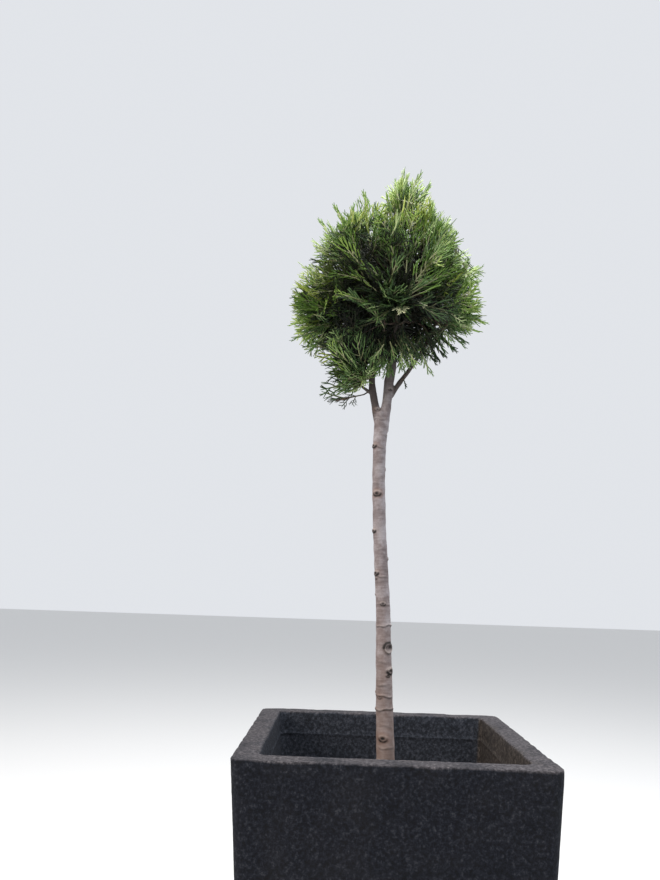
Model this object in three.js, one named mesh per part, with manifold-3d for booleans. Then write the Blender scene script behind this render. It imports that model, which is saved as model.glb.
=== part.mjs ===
// A standard lollipop topiary: a clipped conifer on a bare stem, in its square concrete planter.
// Millimetres, +Z up. The origin is the middle of the planter's underside, and -Y is the front.
import * as THREE from 'three';
import { mergeVertices } from 'three/addons/utils/BufferGeometryUtils.js';
import Module from 'manifold-3d';

const wasm = await Module();
wasm.setup();

// The planter: a cast square tub with thick walls that taper towards its foot
const POT_HEIGHT = 500;
const POT_TOP_WIDTH = 500;
const POT_FOOT_WIDTH = 421;
const POT_WALL = 40;
const POT_FLOOR = 45;
const POT_CORNER_RADIUS = 20;
const POT_EDGE_ROUNDING = 4;
const RIDGE_DROP = 42;
const RIDGE_HALF_HEIGHT = 2;
const RIDGE_RISE = 1;
const CORNER_STEPS = 4;
const SOIL_DROP = 100;

// Touching solids keep this gap
const GAP = 0.3;

// The trunk, from its flat cut at the soil: x, y, z of the middle of the wood, and its radius
const SOIL_LEVEL = POT_HEIGHT - SOIL_DROP;
const TRUNK_LINE = [
  [-1, 0, SOIL_LEVEL + GAP, 24],
  [-1.4, 0, 416, 19],
  [-1.9, 0.5, 440, 16.4],
  [-2.4, 0.5, 479, 15.7],
  [-5.5, 1, 557, 14.9],
  [-8, 0, 640, 13.9],
  [-10.5, -1, 719, 13],
  [-16.7, 0, 819, 12.4],
  [-21, 1, 900, 12.1],
  [-23.2, 0, 990, 12.2],
  [-21.6, 0, 1070, 13.2],
  [-21, 0, 1092, 12.6],
  [-21, 0, 1104, 8],
];
const TRUNK_SIDES = 12;
const TRUNK_RINGS = 26;
const ROOT_LOBES = 4;
const ROOT_LOBE_DEPTH = 0.14;
const ROOT_LOBE_TURN = 0.7;
const ROOT_FLARE_HEIGHT = 60;

// Old cuts and buds on the stem: height, bearing round the stem (0 is +X, -90 the front), radius, length
const KNOTS = [
  [1102, 190, 3.2, 2],
  [1057, -12, 3.6, 2.2],
  [1031, -146, 4.4, 3.6],
  [983, -8, 3.8, 2.2],
  [935, -112, 5, 1.8],
  [863, -168, 4.2, 3.8],
  [812, -8, 3.8, 2.4],
  [785, -152, 4.2, 3.4],
  [746, -170, 3, 1.8],
  [690, -14, 3.4, 2],
  [649, -64, 7.6, 2.4],
  [607, -42, 6.4, 2.4],
  [572, -172, 3, 1.8],
  [543, -172, 3.2, 1.6],
  [493, -107, 6, 1.8],
];
const KNOT_SIDES = 6;
const KNOT_TIP_SHARE = 0.7;
const KNOT_ROOT_SHARE = 1.6;
const KNOT_LIFT = Math.PI / 12;

// The two stems part at the fork, and each is a bough of its own above this height
const FORK_CUT = 1122;
const LEFT_LINE = [
  [-25, 0, 1070, 8.2],
  [-33.6, 0, 1118, 7.2],
  [-39.2, 1, 1150, 6.6],
  [-40.2, 2, 1185, 5.6],
  [-41, 3, 1225, 4.8],
  [-52, 4, 1275, 4.2],
  [-66, 2, 1306, 3.8],
];
const LEADER_LINE = [
  [-16.4, 0, 1070, 9.6],
  [-9.4, 0, 1121, 9],
  [-6, 0, 1161, 9.4],
  [-1, 1, 1197, 9.2],
  [4, 2, 1260, 8.6],
  [10, 1, 1340, 7],
  [16, 2, 1420, 5.2],
  [20, 3, 1478, 4.2],
];
const SIDE_LINE = [
  [-2, 0, 1132, 5.4],
  [14, -1, 1158, 4.9],
  [32, -1, 1184, 4.2],
  [61, 0, 1230, 3.8],
  [76, 0, 1262, 3.8],
];
const LOW_LEFT_LINE = [
  [-36, 0, 1134, 3.4],
  [-48, -4, 1140, 3.2],
  [-62, -9, 1149, 2.9],
  [-76, -12, 1160, 2.6],
];
const FRONT_LINE = [
  [2, 0, 1236, 4.6],
  [3, -26, 1256, 4],
  [4, -46, 1270, 3.4],
];
const BACK_LINE = [
  [4, 2, 1250, 4.6],
  [0, 32, 1268, 4],
  [-4, 54, 1284, 3.4],
];
const UPPER_LEFT_LINE = [
  [8, 0, 1316, 4.4],
  [-20, -14, 1358, 3.7],
  [-40, -22, 1386, 3.1],
];
const UPPER_RIGHT_LINE = [
  [10, 1, 1326, 4.2],
  [30, -14, 1362, 3.5],
  [42, -22, 1386, 3],
];
const UPPER_BACK_LINE = [
  [12, 2, 1342, 4.2],
  [6, 28, 1376, 3.5],
  [1, 42, 1396, 3],
];
const BOUGH_SIDES = 8;
const BOUGH_RING_SPACING = 28;

// The crown's outline: height, x of the middle and radius, from the underside to the tip of the tuft
const CROWN_PROFILE = [
  [1234, 4, 40],
  [1242, 2, 92],
  [1254, 0, 130],
  [1272, -8, 160],
  [1300, -14, 182],
  [1335, -15, 190],
  [1380, -15, 174],
  [1430, -18, 157],
  [1480, -8, 132],
  [1520, 12, 88],
  [1555, 20, 56],
  [1588, 22, 43],
  [1612, 23, 36],
  [1626, 24, 20],
];
// Lobes that stand proud of that outline: middle and half sizes
const LOBES = [
  { middle: [-84, -18, 1196], half: [64, 76, 66] },
  { middle: [-130, 0, 1268], half: [62, 64, 52] },
  { middle: [-84, -22, 1455], half: [66, 68, 70] },
  { middle: [76, -6, 1252], half: [46, 52, 44] },
  { middle: [112, 0, 1370], half: [62, 70, 70] },
];
// Sprays point away from this point, and those of the loose mass from the foot of its own bough
const CROWN_MIDDLE = [0, 0, 1310];
const LOOSE_MASS = 'crown_low_left';
const LOOSE_MIDDLE = [-60, -12, 1166];
const AWAY_SHARE = 0.42;
const HEART_SHARE = 0.75;
const STRAYING = 0.15;
// The higher a spray grows the more it stands up: from and to which height, and how much
const RISES = [
  [1290, 1350, 0.1],
  [1400, 1500, 0.7],
];

// The masses of foliage: name, heart, how many sprays, and the bough that carries each
const MASSES = [
  ['crown_top', [14, 0, 1500], 26, 'bough_leader', 11],
  ['crown_upper_left', [-74, -30, 1412], 30, 'bough_upper_left', 23],
  ['crown_upper_right', [68, -34, 1410], 28, 'bough_upper_right', 37],
  ['crown_upper_back', [-5, 72, 1424], 24, 'bough_upper_back', 41],
  ['crown_left', [-104, 2, 1306], 29, 'bough_left', 59],
  ['crown_right', [92, 0, 1306], 30, 'bough_side', 61],
  ['crown_front', [-4, -84, 1290], 28, 'bough_front', 73],
  ['crown_back', [-6, 94, 1302], 27, 'bough_back', 89],
  ['crown_low_left', [-86, -18, 1180], 19, 'bough_low_left', 97],
];
const CELL_MARGIN = 0.5;
const CORE_SHARE = 0.38;
const LOOSE_CORE_SHARE = 0.28;
const CORE_CELL_SHARE = 0.9;
const CORE_LARGEST = 52;
const LOOSE_CORE_LARGEST = 26;
const CORE_ROUGHNESS = 0.3;
const ROUGH_AXIS = new THREE.Vector3(12.9, 78.2, 37.7);
const ROUGH_SCALE = 43.7;
const CORE_DETAIL = 1;
const STEM_RADIUS = 3.4;
const STEM_TIP_RADIUS = 2.4;
const STEM_SIDES = 6;
const STEM_RINGS = 2;

// A spray: how long it grows, how deep its root is sunk, and how its hand and fingers are cut
const SPRAY_LONGEST = 124;
const SPRAY_SHORTEST = 26;
const SPRAY_SINK = 16;
const SPRAY_THICKNESS = 3.2;
const SPRAY_CURL = 0.08;
const SPRAY_CLEARANCE = 2.5;
const STALK_HALF_WIDTH = 1.6;
const STALK_SHARE = 0.03;
const PALM_SHARE = 0.3;
const RIB_SHARE = 0.12;
const FINGERS = 4;
const FINGER_SPREAD = 40;
const FINGER_WANDER = 0.3;
const FINGER_SHORTENING = [0.07, 0.15];
const NOTCH_SHARE = 0.5;
const EDGE_NOTCH_SHARE = 0.25;
const EDGE_NOTCH_STEP = 0.7;

// How sprays fill the reach: shares of it, tries, turns about their own line, and the slim ones
const REACH_SHARES = [0.94, 1.04];
const TRIES_PER_SPRAY = 12;
const SPRAY_TURNS = 6;
const SLIM_SHARE = 0.5;
const TURNING_SHARE = 0.9;
const TURNED_SHARE = 0.8;
const MARCH_STEP = 3;
const SMALLEST_FACET = 0.3;
const SMALLEST_WOOD_FACET = 0.1;
const EVEN_STEPS = [0.7548776662, 0.569840291];
const WORD = 2 ** 32;

const vector = ([x, y, z]) => new THREE.Vector3(x, y, z);

// One closed mesh as a solid: shared vertices merged, slivers at poles dropped, faces turned outwards
function toSolid(geometry) {
  const bare = geometry.index ? geometry.toNonIndexed() : geometry.clone();
  for (const name of Object.keys(bare.attributes)) {
    if (name !== 'position') bare.deleteAttribute(name);
  }
  const merged = mergeVertices(bare, 1e-4);
  const place = merged.attributes.position;
  const corner = merged.index.array;
  const kept = [];
  let volume = 0;
  const [a, b, c] = [new THREE.Vector3(), new THREE.Vector3(), new THREE.Vector3()];
  for (let i = 0; i < corner.length; i += 3) {
    const [p, q, r] = [corner[i], corner[i + 1], corner[i + 2]];
    if (p === q || q === r || r === p) continue;
    kept.push(p, q, r);
    a.fromBufferAttribute(place, p);
    b.fromBufferAttribute(place, q);
    c.fromBufferAttribute(place, r);
    volume += a.dot(b.cross(c));
  }
  if (volume < 0) kept.reverse();
  const mesh = new wasm.Mesh({
    numProp: 3,
    vertProperties: Float32Array.from(place.array),
    triVerts: Uint32Array.from(kept),
  });
  return new wasm.Manifold(mesh);
}

function toGeometry(solid) {
  const mesh = solid.getMesh();
  const geometry = new THREE.BufferGeometry();
  geometry.setAttribute('position', new THREE.BufferAttribute(mesh.vertProperties, 3));
  geometry.setIndex(new THREE.BufferAttribute(mesh.triVerts, 1));
  geometry.computeVertexNormals();
  return geometry;
}

// The largest body of a solid: loose scraps are dropped and sealed hollows are filled
function largestBody(solid) {
  const bodies = solid.decompose();
  bodies.sort((one, other) => other.volume() - one.volume());
  return bodies[0];
}

// A number line of random values that is the same on every run
function seededRandom(seed) {
  let state = seed;
  return () => {
    state = (Math.imul(state, 1664525) + 1013904223) >>> 0;
    return state / WORD;
  };
}

// The planter and its soil are lathed, then each ring is pressed out to a square with round corners
function squareTub(profile, cornerRadius) {
  const perCorner = CORNER_STEPS + 1;
  const lathe = new THREE.LatheGeometry(profile, 4 * perCorner);
  lathe.rotateX(Math.PI / 2);
  const place = lathe.attributes.position;
  for (let i = 0; i < place.count; i += 1) {
    const halfWidth = Math.hypot(place.getX(i), place.getY(i));
    if (halfWidth < 1e-6) continue;
    const step = Math.floor(i / profile.length) % (4 * perCorner);
    const corner = Math.floor(step / perCorner);
    const bearing = (corner + (step % perCorner) / CORNER_STEPS) * Math.PI / 2;
    const flat = halfWidth - cornerRadius;
    const towards = (corner + 0.5) * Math.PI / 2;
    place.setX(i, flat * Math.sign(Math.cos(towards)) + cornerRadius * Math.cos(bearing));
    place.setY(i, flat * Math.sign(Math.sin(towards)) + cornerRadius * Math.sin(bearing));
  }
  return toSolid(lathe);
}

const potSlope = (POT_TOP_WIDTH - POT_FOOT_WIDTH) / 2 / POT_HEIGHT;
const outerHalf = (z) => POT_FOOT_WIDTH / 2 + potSlope * z;
const innerHalf = (z) => outerHalf(z) - POT_WALL;
const ringPoint = (halfWidth, z) => new THREE.Vector2(halfWidth, z);

function planterSolid() {
  const edge = POT_EDGE_ROUNDING;
  const soft = edge * (1 - Math.SQRT1_2);
  const ridge = POT_HEIGHT - RIDGE_DROP;
  return squareTub([
    ringPoint(0, 0),
    ringPoint(outerHalf(0) - edge, 0),
    ringPoint(outerHalf(edge), edge),
    ringPoint(outerHalf(POT_HEIGHT - edge), POT_HEIGHT - edge),
    ringPoint(outerHalf(POT_HEIGHT) - soft, POT_HEIGHT - soft),
    ringPoint(outerHalf(POT_HEIGHT) - edge, POT_HEIGHT),
    ringPoint(innerHalf(POT_HEIGHT) + edge, POT_HEIGHT),
    ringPoint(innerHalf(POT_HEIGHT) + soft, POT_HEIGHT - soft),
    ringPoint(innerHalf(POT_HEIGHT - edge), POT_HEIGHT - edge),
    ringPoint(innerHalf(ridge + RIDGE_HALF_HEIGHT), ridge + RIDGE_HALF_HEIGHT),
    ringPoint(innerHalf(ridge) - RIDGE_RISE, ridge),
    ringPoint(innerHalf(ridge - RIDGE_HALF_HEIGHT), ridge - RIDGE_HALF_HEIGHT),
    ringPoint(innerHalf(POT_FLOOR), POT_FLOOR),
    ringPoint(0, POT_FLOOR),
  ], POT_CORNER_RADIUS);
}

function soilSolid() {
  const foot = POT_FLOOR + GAP;
  return squareTub([
    ringPoint(0, foot),
    ringPoint(innerHalf(foot) - GAP, foot),
    ringPoint(innerHalf(SOIL_LEVEL) - GAP, SOIL_LEVEL),
    ringPoint(0, SOIL_LEVEL),
  ], POT_CORNER_RADIUS);
}

// A limb: a lathed spindle of the given radii, bent along its line of middle points
function limbSolid(line, sides, rings, spare = 0, lobes = null) {
  const curve = new THREE.CatmullRomCurve3(line.map(vector));
  const radiusAt = (t) => {
    const place = t * (line.length - 1);
    const low = Math.min(Math.floor(place), line.length - 2);
    return THREE.MathUtils.lerp(line[low][3], line[low + 1][3], place - low) + spare;
  };
  const profile = [new THREE.Vector2(0, 0)];
  for (let i = 0; i <= rings; i += 1) profile.push(new THREE.Vector2(radiusAt(i / rings), i / rings));
  profile.push(new THREE.Vector2(0, 1));
  const lathe = new THREE.LatheGeometry(profile, sides);
  const place = lathe.attributes.position;
  const across = new THREE.Vector3();
  const aside = new THREE.Vector3();
  for (let i = 0; i < place.count; i += 1) {
    const t = THREE.MathUtils.clamp(place.getY(i), 0, 1);
    const middle = curve.getPoint(t);
    const along = curve.getTangent(t);
    if (t === 0 && lobes) along.set(0, 0, 1);
    across.set(0, 1, 0).cross(along).normalize();
    aside.copy(along).cross(across);
    const bulge = lobes ? lobes(middle.z, Math.atan2(place.getZ(i), place.getX(i))) : 1;
    middle.addScaledVector(along, t === 0 ? -spare : t === 1 ? spare : 0);
    middle.addScaledVector(across, place.getX(i) * bulge);
    middle.addScaledVector(aside, place.getZ(i) * bulge);
    place.setXYZ(i, middle.x, middle.y, middle.z);
  }
  return toSolid(lathe);
}

const lineLength = (line) => new THREE.CatmullRomCurve3(line.map(vector)).getLength();
const boughSolid = (line, spare = 0) =>
  limbSolid(line, BOUGH_SIDES, Math.max(3, Math.round(lineLength(line) / BOUGH_RING_SPACING)), spare);

// Where the stem's wood is at a height: its middle and radius
function trunkAt(z) {
  const upper = TRUNK_LINE.findIndex((point) => point[2] >= z);
  const [low, high] = [TRUNK_LINE[upper - 1], TRUNK_LINE[upper]];
  const share = (z - low[2]) / (high[2] - low[2]);
  return low.map((value, i) => THREE.MathUtils.lerp(value, high[i], share));
}

// A knot is a short blunt cone, its root inside the stem
function knotSolid([z, bearing, radius, length]) {
  const [x, y, , wood] = trunkAt(z);
  const [tip, root] = [radius * KNOT_TIP_SHARE, radius * KNOT_ROOT_SHARE];
  const cone = new THREE.CylinderGeometry(tip, root, length * 2, KNOT_SIDES);
  cone.rotateZ(-Math.PI / 2);
  cone.rotateY(-KNOT_LIFT);
  cone.translate(wood, 0, 0);
  cone.rotateZ(THREE.MathUtils.degToRad(bearing));
  cone.translate(x, y, z);
  return toSolid(cone);
}

function rootFlare(z, bearing) {
  const share = THREE.MathUtils.clamp(1 - (z - SOIL_LEVEL) / ROOT_FLARE_HEIGHT, 0, 1);
  return 1 + ROOT_LOBE_DEPTH * share * Math.cos(ROOT_LOBES * bearing + ROOT_LOBE_TURN);
}

function trunkSolid(leftWhole, leaderWhole) {
  const stem = limbSolid(TRUNK_LINE, TRUNK_SIDES, TRUNK_RINGS, 0, rootFlare);
  const below = (solid) => solid.trimByPlane([0, 0, -1], -FORK_CUT);
  const pieces = [stem, below(leftWhole), below(leaderWhole), ...KNOTS.map(knotSolid)];
  const whole = wasm.Manifold.union(pieces).trimByPlane([0, 0, 1], SOIL_LEVEL + GAP);
  return largestBody(whole.simplify(SMALLEST_WOOD_FACET));
}

// How wide the crown is, and whether a point lies within its reach
function profileAt(z) {
  const upper = CROWN_PROFILE.findIndex((point) => point[0] >= z);
  if (upper < 1) return null;
  const [low, high] = [CROWN_PROFILE[upper - 1], CROWN_PROFILE[upper]];
  const share = (z - low[0]) / (high[0] - low[0]);
  return [THREE.MathUtils.lerp(low[1], high[1], share), THREE.MathUtils.lerp(low[2], high[2], share)];
}

function withinCrown(point) {
  const ring = profileAt(point.z);
  if (ring && Math.hypot(point.x - ring[0], point.y) < ring[1]) return true;
  return LOBES.some(({ middle, half }) => {
    const [x, y, z] = [0, 1, 2].map((i) => (point.getComponent(i) - middle[i]) / half[i]);
    return x * x + y * y + z * z < 1;
  });
}

// How far the crown reaches from a point in a direction
function reachFrom(point, direction) {
  const walker = point.clone();
  let gone = 0;
  while (withinCrown(walker)) {
    gone += MARCH_STEP;
    walker.addScaledVector(direction, MARCH_STEP);
  }
  return gone;
}

// A mass keeps to its cell: the planes halfway between its heart and every other heart
function cellPlanes(name) {
  const heart = vector(MASSES.find((mass) => mass[0] === name)[1]);
  return MASSES.filter((mass) => mass[0] !== name).map((mass) => {
    const other = vector(mass[1]);
    const normal = other.clone().sub(heart).normalize();
    return { normal, limit: normal.dot(heart.clone().add(other).multiplyScalar(0.5)) - CELL_MARGIN };
  });
}

const withinCell = (planes, point) => planes.every(({ normal, limit }) => normal.dot(point) < limit);

function cellDistance(planes, point, direction) {
  let nearest = Infinity;
  for (const { normal, limit } of planes) {
    const slope = normal.dot(direction);
    if (slope > 1e-6) nearest = Math.min(nearest, (limit - normal.dot(point)) / slope);
  }
  return nearest;
}

const fraction = (value) => value - Math.floor(value);

// Directions spread evenly over a sphere, however many are taken
function evenDirection(i) {
  const [rising, turning] = EVEN_STEPS.map((step) => fraction(0.5 + i * step));
  const height = 1 - 2 * rising;
  const bearing = 2 * Math.PI * turning;
  const width = Math.sqrt(1 - height * height);
  return new THREE.Vector3(width * Math.cos(bearing), width * Math.sin(bearing), height);
}

// One spray, flat like a hand: a stalk and fingers along +Y, its root at the origin. It is thickest at
// the palm, where the ribs meet, and thins out to its edge
function sprayGeometry(length, curl, random) {
  const stalk = Math.max(STALK_HALF_WIDTH, length * STALK_SHARE);
  const palm = length * PALM_SHARE;
  const finger = length - palm;
  const middle = (FINGERS - 1) / 2;
  const pitch = FINGER_SPREAD / middle;
  const polar = (reach, degrees) => {
    const lean = THREE.MathUtils.degToRad(degrees);
    return [reach * Math.sin(lean), palm + reach * Math.cos(lean)];
  };
  const edge = (middle + EDGE_NOTCH_STEP) * pitch;
  const outline = [[-stalk, 0], polar(finger * EDGE_NOTCH_SHARE, -edge)];
  for (let i = 0; i < FINGERS; i += 1) {
    const step = i - middle;
    const shorter = Math.abs(step) * THREE.MathUtils.lerp(...FINGER_SHORTENING, random());
    outline.push(polar(finger * (1 - shorter), (step + (random() - 0.5) * FINGER_WANDER) * pitch));
    if (i < FINGERS - 1) outline.push(polar(finger * NOTCH_SHARE, (step + 0.5) * pitch));
  }
  outline.push(polar(finger * EDGE_NOTCH_SHARE, edge), [stalk, 0]);
  const bend = (y) => curl * y * y / length;
  const points = outline.map(([x, y]) => [x, y, bend(y)]);
  const rib = palm + finger * RIB_SHARE;
  points.push([0, rib, bend(rib) + SPRAY_THICKNESS / 2], [0, rib, bend(rib) - SPRAY_THICKNESS / 2]);
  const [front, back] = [outline.length, outline.length + 1];
  const faces = outline.flatMap((_, i) => {
    const next = (i + 1) % outline.length;
    return [front, next, i, back, i, next];
  });
  const blade = new THREE.BufferGeometry();
  blade.setAttribute('position', new THREE.Float32BufferAttribute(points.flat(), 3));
  blade.setIndex(faces);
  return blade;
}

function pointToLimb(point, line) {
  let nearest = Infinity;
  for (let i = 1; i < line.length; i += 1) {
    const segment = new THREE.Line3(vector(line[i - 1]), vector(line[i]));
    const foot = segment.closestPointToPoint(point, true, new THREE.Vector3());
    nearest = Math.min(nearest, foot.distanceTo(point) - Math.max(line[i - 1][3], line[i][3]));
  }
  return nearest;
}

// Sprays point away from the crown's middle, and the higher they grow the more they stand up
function growthDirection(root, direction, middle, random) {
  const growth = root.clone().sub(middle).normalize().multiplyScalar(AWAY_SHARE);
  growth.addScaledVector(direction, HEART_SHARE);
  for (const [low, high, rise] of RISES) growth.z += rise * THREE.MathUtils.smoothstep(root.z, low, high);
  growth.x += (random() * 2 - 1) * STRAYING;
  growth.y += (random() * 2 - 1) * STRAYING;
  growth.z += (random() * 2 - 1) * STRAYING;
  return growth.normalize();
}

// Near a neighbour a spray turns along the plane between them instead of growing across it
function keepToCell(planes, root, growth) {
  for (const { normal, limit } of planes) {
    const room = limit - normal.dot(root);
    const crossing = normal.dot(growth);
    if (crossing > 0 && room < crossing * SPRAY_LONGEST * TURNING_SHARE) {
      growth.addScaledVector(normal, -crossing + room / SPRAY_LONGEST * TURNED_SHARE).normalize();
    }
  }
}

// A dense mass: its stem, its smaller core, and the sprays that stand out of the core
function massSolid([name, heartPlace, sprays, , seed], boughLine, limbs, limbLines) {
  const heart = vector(heartPlace);
  const planes = cellPlanes(name);
  const random = seededRandom(seed);
  const loose = name === LOOSE_MASS;
  const middle = vector(loose ? LOOSE_MIDDLE : CROWN_MIDDLE);
  const share = loose ? LOOSE_CORE_SHARE : CORE_SHARE;
  const largest = loose ? LOOSE_CORE_LARGEST : CORE_LARGEST;
  const coreReach = (direction) => Math.min(
    share * reachFrom(heart, direction),
    CORE_CELL_SHARE * cellDistance(planes, heart, direction),
    largest,
  );
  const core = new THREE.IcosahedronGeometry(1, CORE_DETAIL);
  const place = core.attributes.position;
  for (let i = 0; i < place.count; i += 1) {
    const direction = new THREE.Vector3().fromBufferAttribute(place, i).normalize();
    const rough = 1 - CORE_ROUGHNESS * fraction(Math.sin(direction.dot(ROUGH_AXIS)) * ROUGH_SCALE);
    const corner = heart.clone().addScaledVector(direction, coreReach(direction) * rough);
    place.setXYZ(i, corner.x, corner.y, corner.z);
  }
  const tip = vector(boughLine[boughLine.length - 1]);
  const stemLine = [[...tip.toArray(), STEM_RADIUS], [...heart.toArray(), STEM_TIP_RADIUS]];
  const pieces = [toSolid(core), limbSolid(stemLine, STEM_SIDES, STEM_RINGS)];
  let grown = 0;
  for (let i = 0; grown < sprays && i < sprays * TRIES_PER_SPRAY; i += 1) {
    const direction = evenDirection(i);
    const sunk = coreReach(direction) - SPRAY_SINK;
    const root = heart.clone().addScaledVector(direction, sunk);
    const growth = growthDirection(root, direction, middle, random);
    keepToCell(planes, root, growth);
    const turn = random() * Math.PI;
    const curl = (random() - 0.5) * 2 * SPRAY_CURL;
    const roomy = reachFrom(root, growth) * THREE.MathUtils.lerp(...REACH_SHARES, random());
    const fingerSeed = Math.floor(random() * WORD);
    const length = Math.min(roomy, SPRAY_LONGEST);
    if (length < SPRAY_SHORTEST) continue;
    const blade = sprayGeometry(length, curl, seededRandom(fingerSeed));
    for (let k = 0; k < 2 * SPRAY_TURNS; k += 1) {
      const width = k < SPRAY_TURNS ? 1 : SLIM_SHARE;
      const side = new THREE.Vector3(0, 0, 1).cross(growth).normalize();
      side.applyAxisAngle(growth, turn + k * Math.PI / SPRAY_TURNS);
      const face = side.clone().cross(growth);
      const matrix = new THREE.Matrix4().makeBasis(side.multiplyScalar(width), growth, face);
      const placed = blade.clone().applyMatrix4(matrix.setPosition(root));
      const corners = placed.attributes.position;
      let fits = true;
      const corner = new THREE.Vector3();
      for (let j = 0; j < corners.count && fits; j += 1) {
        corner.fromBufferAttribute(corners, j);
        fits = withinCell(planes, corner)
          && limbLines.every((line) => pointToLimb(corner, line) > SPRAY_CLEARANCE);
      }
      if (!fits) continue;
      pieces.push(toSolid(placed));
      grown += 1;
      break;
    }
  }
  const fused = wasm.Manifold.union(pieces).subtract(wasm.Manifold.union(limbs));
  return largestBody(fused).simplify(SMALLEST_FACET);
}

const finishes = {
  concrete: { color: 0x24262c, roughness: 0.9, metalness: 0 },
  soil: { color: 0x2e2620, roughness: 1, metalness: 0 },
  bark: { color: 0x8b8078, roughness: 0.85, metalness: 0 },
  foliage: { color: 0x4c5f33, roughness: 0.7, metalness: 0 },
};

const topiary = new THREE.Group();

function addPart(name, solid, finish) {
  const material = new THREE.MeshStandardMaterial({ ...finishes[finish], flatShading: true });
  const mesh = new THREE.Mesh(toGeometry(solid), material);
  mesh.name = name;
  topiary.add(mesh);
}

addPart('planter', planterSolid(), 'concrete');
addPart('soil', soilSolid(), 'soil');

const leftWhole = boughSolid(LEFT_LINE);
const leaderWhole = boughSolid(LEADER_LINE);
const aboveFork = (solid) => solid.trimByPlane([0, 0, 1], FORK_CUT + GAP);
addPart('trunk', trunkSolid(leftWhole, leaderWhole), 'bark');

// Every bough: its line, and the bough that it grows from, whose wood it stops short of
const BOUGHS = {
  bough_left: { line: LEFT_LINE, from: null },
  bough_leader: { line: LEADER_LINE, from: null },
  bough_side: { line: SIDE_LINE, from: 'bough_leader' },
  bough_low_left: { line: LOW_LEFT_LINE, from: 'bough_left' },
  bough_front: { line: FRONT_LINE, from: 'bough_leader' },
  bough_back: { line: BACK_LINE, from: 'bough_leader' },
  bough_upper_left: { line: UPPER_LEFT_LINE, from: 'bough_leader' },
  bough_upper_right: { line: UPPER_RIGHT_LINE, from: 'bough_leader' },
  bough_upper_back: { line: UPPER_BACK_LINE, from: 'bough_leader' },
};
for (const [name, { line, from }] of Object.entries(BOUGHS)) {
  const whole = boughSolid(line);
  const solid = from ? whole.subtract(boughSolid(BOUGHS[from].line, GAP)) : aboveFork(whole);
  addPart(name, largestBody(solid), 'bark');
}

const boughLines = Object.values(BOUGHS).map(({ line }) => line);
const limbRoom = boughLines.map((line) => boughSolid(line, GAP));
for (const mass of MASSES) {
  addPart(mass[0], massSolid(mass, BOUGHS[mass[3]].line, limbRoom, boughLines), 'foliage');
}

export default topiary;
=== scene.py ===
# A clipped standard conifer on a bare stem, in its square concrete planter.
import math

import bmesh
import bpy
import numpy as np
from mathutils import Matrix, Vector, noise


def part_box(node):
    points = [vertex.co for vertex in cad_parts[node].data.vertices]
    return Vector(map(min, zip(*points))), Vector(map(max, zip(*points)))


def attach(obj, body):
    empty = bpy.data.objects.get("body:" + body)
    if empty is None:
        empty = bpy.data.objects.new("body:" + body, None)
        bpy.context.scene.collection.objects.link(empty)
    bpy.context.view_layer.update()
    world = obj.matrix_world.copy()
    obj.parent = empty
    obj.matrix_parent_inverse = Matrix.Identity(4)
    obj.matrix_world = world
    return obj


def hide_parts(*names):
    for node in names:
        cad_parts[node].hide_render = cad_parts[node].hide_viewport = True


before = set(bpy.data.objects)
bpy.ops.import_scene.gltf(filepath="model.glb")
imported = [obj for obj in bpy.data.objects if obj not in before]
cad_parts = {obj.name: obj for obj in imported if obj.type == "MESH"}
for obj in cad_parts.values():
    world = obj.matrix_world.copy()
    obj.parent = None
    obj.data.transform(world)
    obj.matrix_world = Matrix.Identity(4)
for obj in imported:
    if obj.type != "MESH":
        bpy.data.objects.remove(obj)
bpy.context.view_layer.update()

# The camera stands 1.39 m in front of the planter's middle, a quarter of a metre above its rim. It looks
# up by 12 degrees with a slight roll, and its focal length is 724 pixels where the picture is 880 high.
CAMERA_PLACE = Vector((-0.0945, -1.392, 0.745))
CAMERA_AHEAD = Vector((-0.0179, 0.978, 0.2067)).normalized()
CAMERA_ROLL = math.radians(1.87)
FOCAL_PIXELS = 724
FRAME_HEIGHT_PIXELS = 880
SENSOR_LONG_SIDE = 36.0
FARTHEST_SEEN = 60.0

level_right = CAMERA_AHEAD.cross(Vector((0, 0, 1))).normalized()
level_up = level_right.cross(CAMERA_AHEAD)
camera_right = level_right * math.cos(CAMERA_ROLL) + level_up * math.sin(CAMERA_ROLL)
camera_up = level_up * math.cos(CAMERA_ROLL) - level_right * math.sin(CAMERA_ROLL)
camera_data = bpy.data.cameras.new("camera")
camera_data.sensor_width = SENSOR_LONG_SIDE
camera_data.lens = SENSOR_LONG_SIDE * FOCAL_PIXELS / FRAME_HEIGHT_PIXELS
camera_data.clip_end = FARTHEST_SEEN
camera = bpy.data.objects.new("camera", camera_data)
turned = Matrix((camera_right, camera_up, -CAMERA_AHEAD)).transposed()
camera.matrix_world = Matrix.Translation(CAMERA_PLACE) @ turned.to_4x4()
bpy.context.scene.collection.objects.link(camera)
bpy.context.scene.camera = camera
bpy.context.scene.view_settings.view_transform = "Standard"


# The studio: a wide pale floor and a pale surround, lit like an overcast day, softly from above and
# from the left, so that the crown is bright on top and dark inside. Each panel has a name, a place, a
# width, its watts and its colour, and is turned towards the crown's foot.
FLOOR_SIZE = 40.0
FLOOR_COLOUR = "#d9d9d8"
FLOOR_ROUGHNESS = 0.9
SURROUND_COLOUR = "#e9ecf1"
SURROUND_STRENGTH = 0.93
LIGHT_PANELS = (
    ("sky_panel", (0.5, -0.2, 3.7), 2.4, 150, "#ffffff"),
    ("warm_panel", (-2.6, -1.6, 1.9), 1.6, 60, "#ffeedd"),
    ("cool_panel", (2.6, -1.2, 2.3), 1.6, 4, "#dbe6ff"),
)
LIT_POINT = Vector((0, 0, 1.0))


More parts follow.
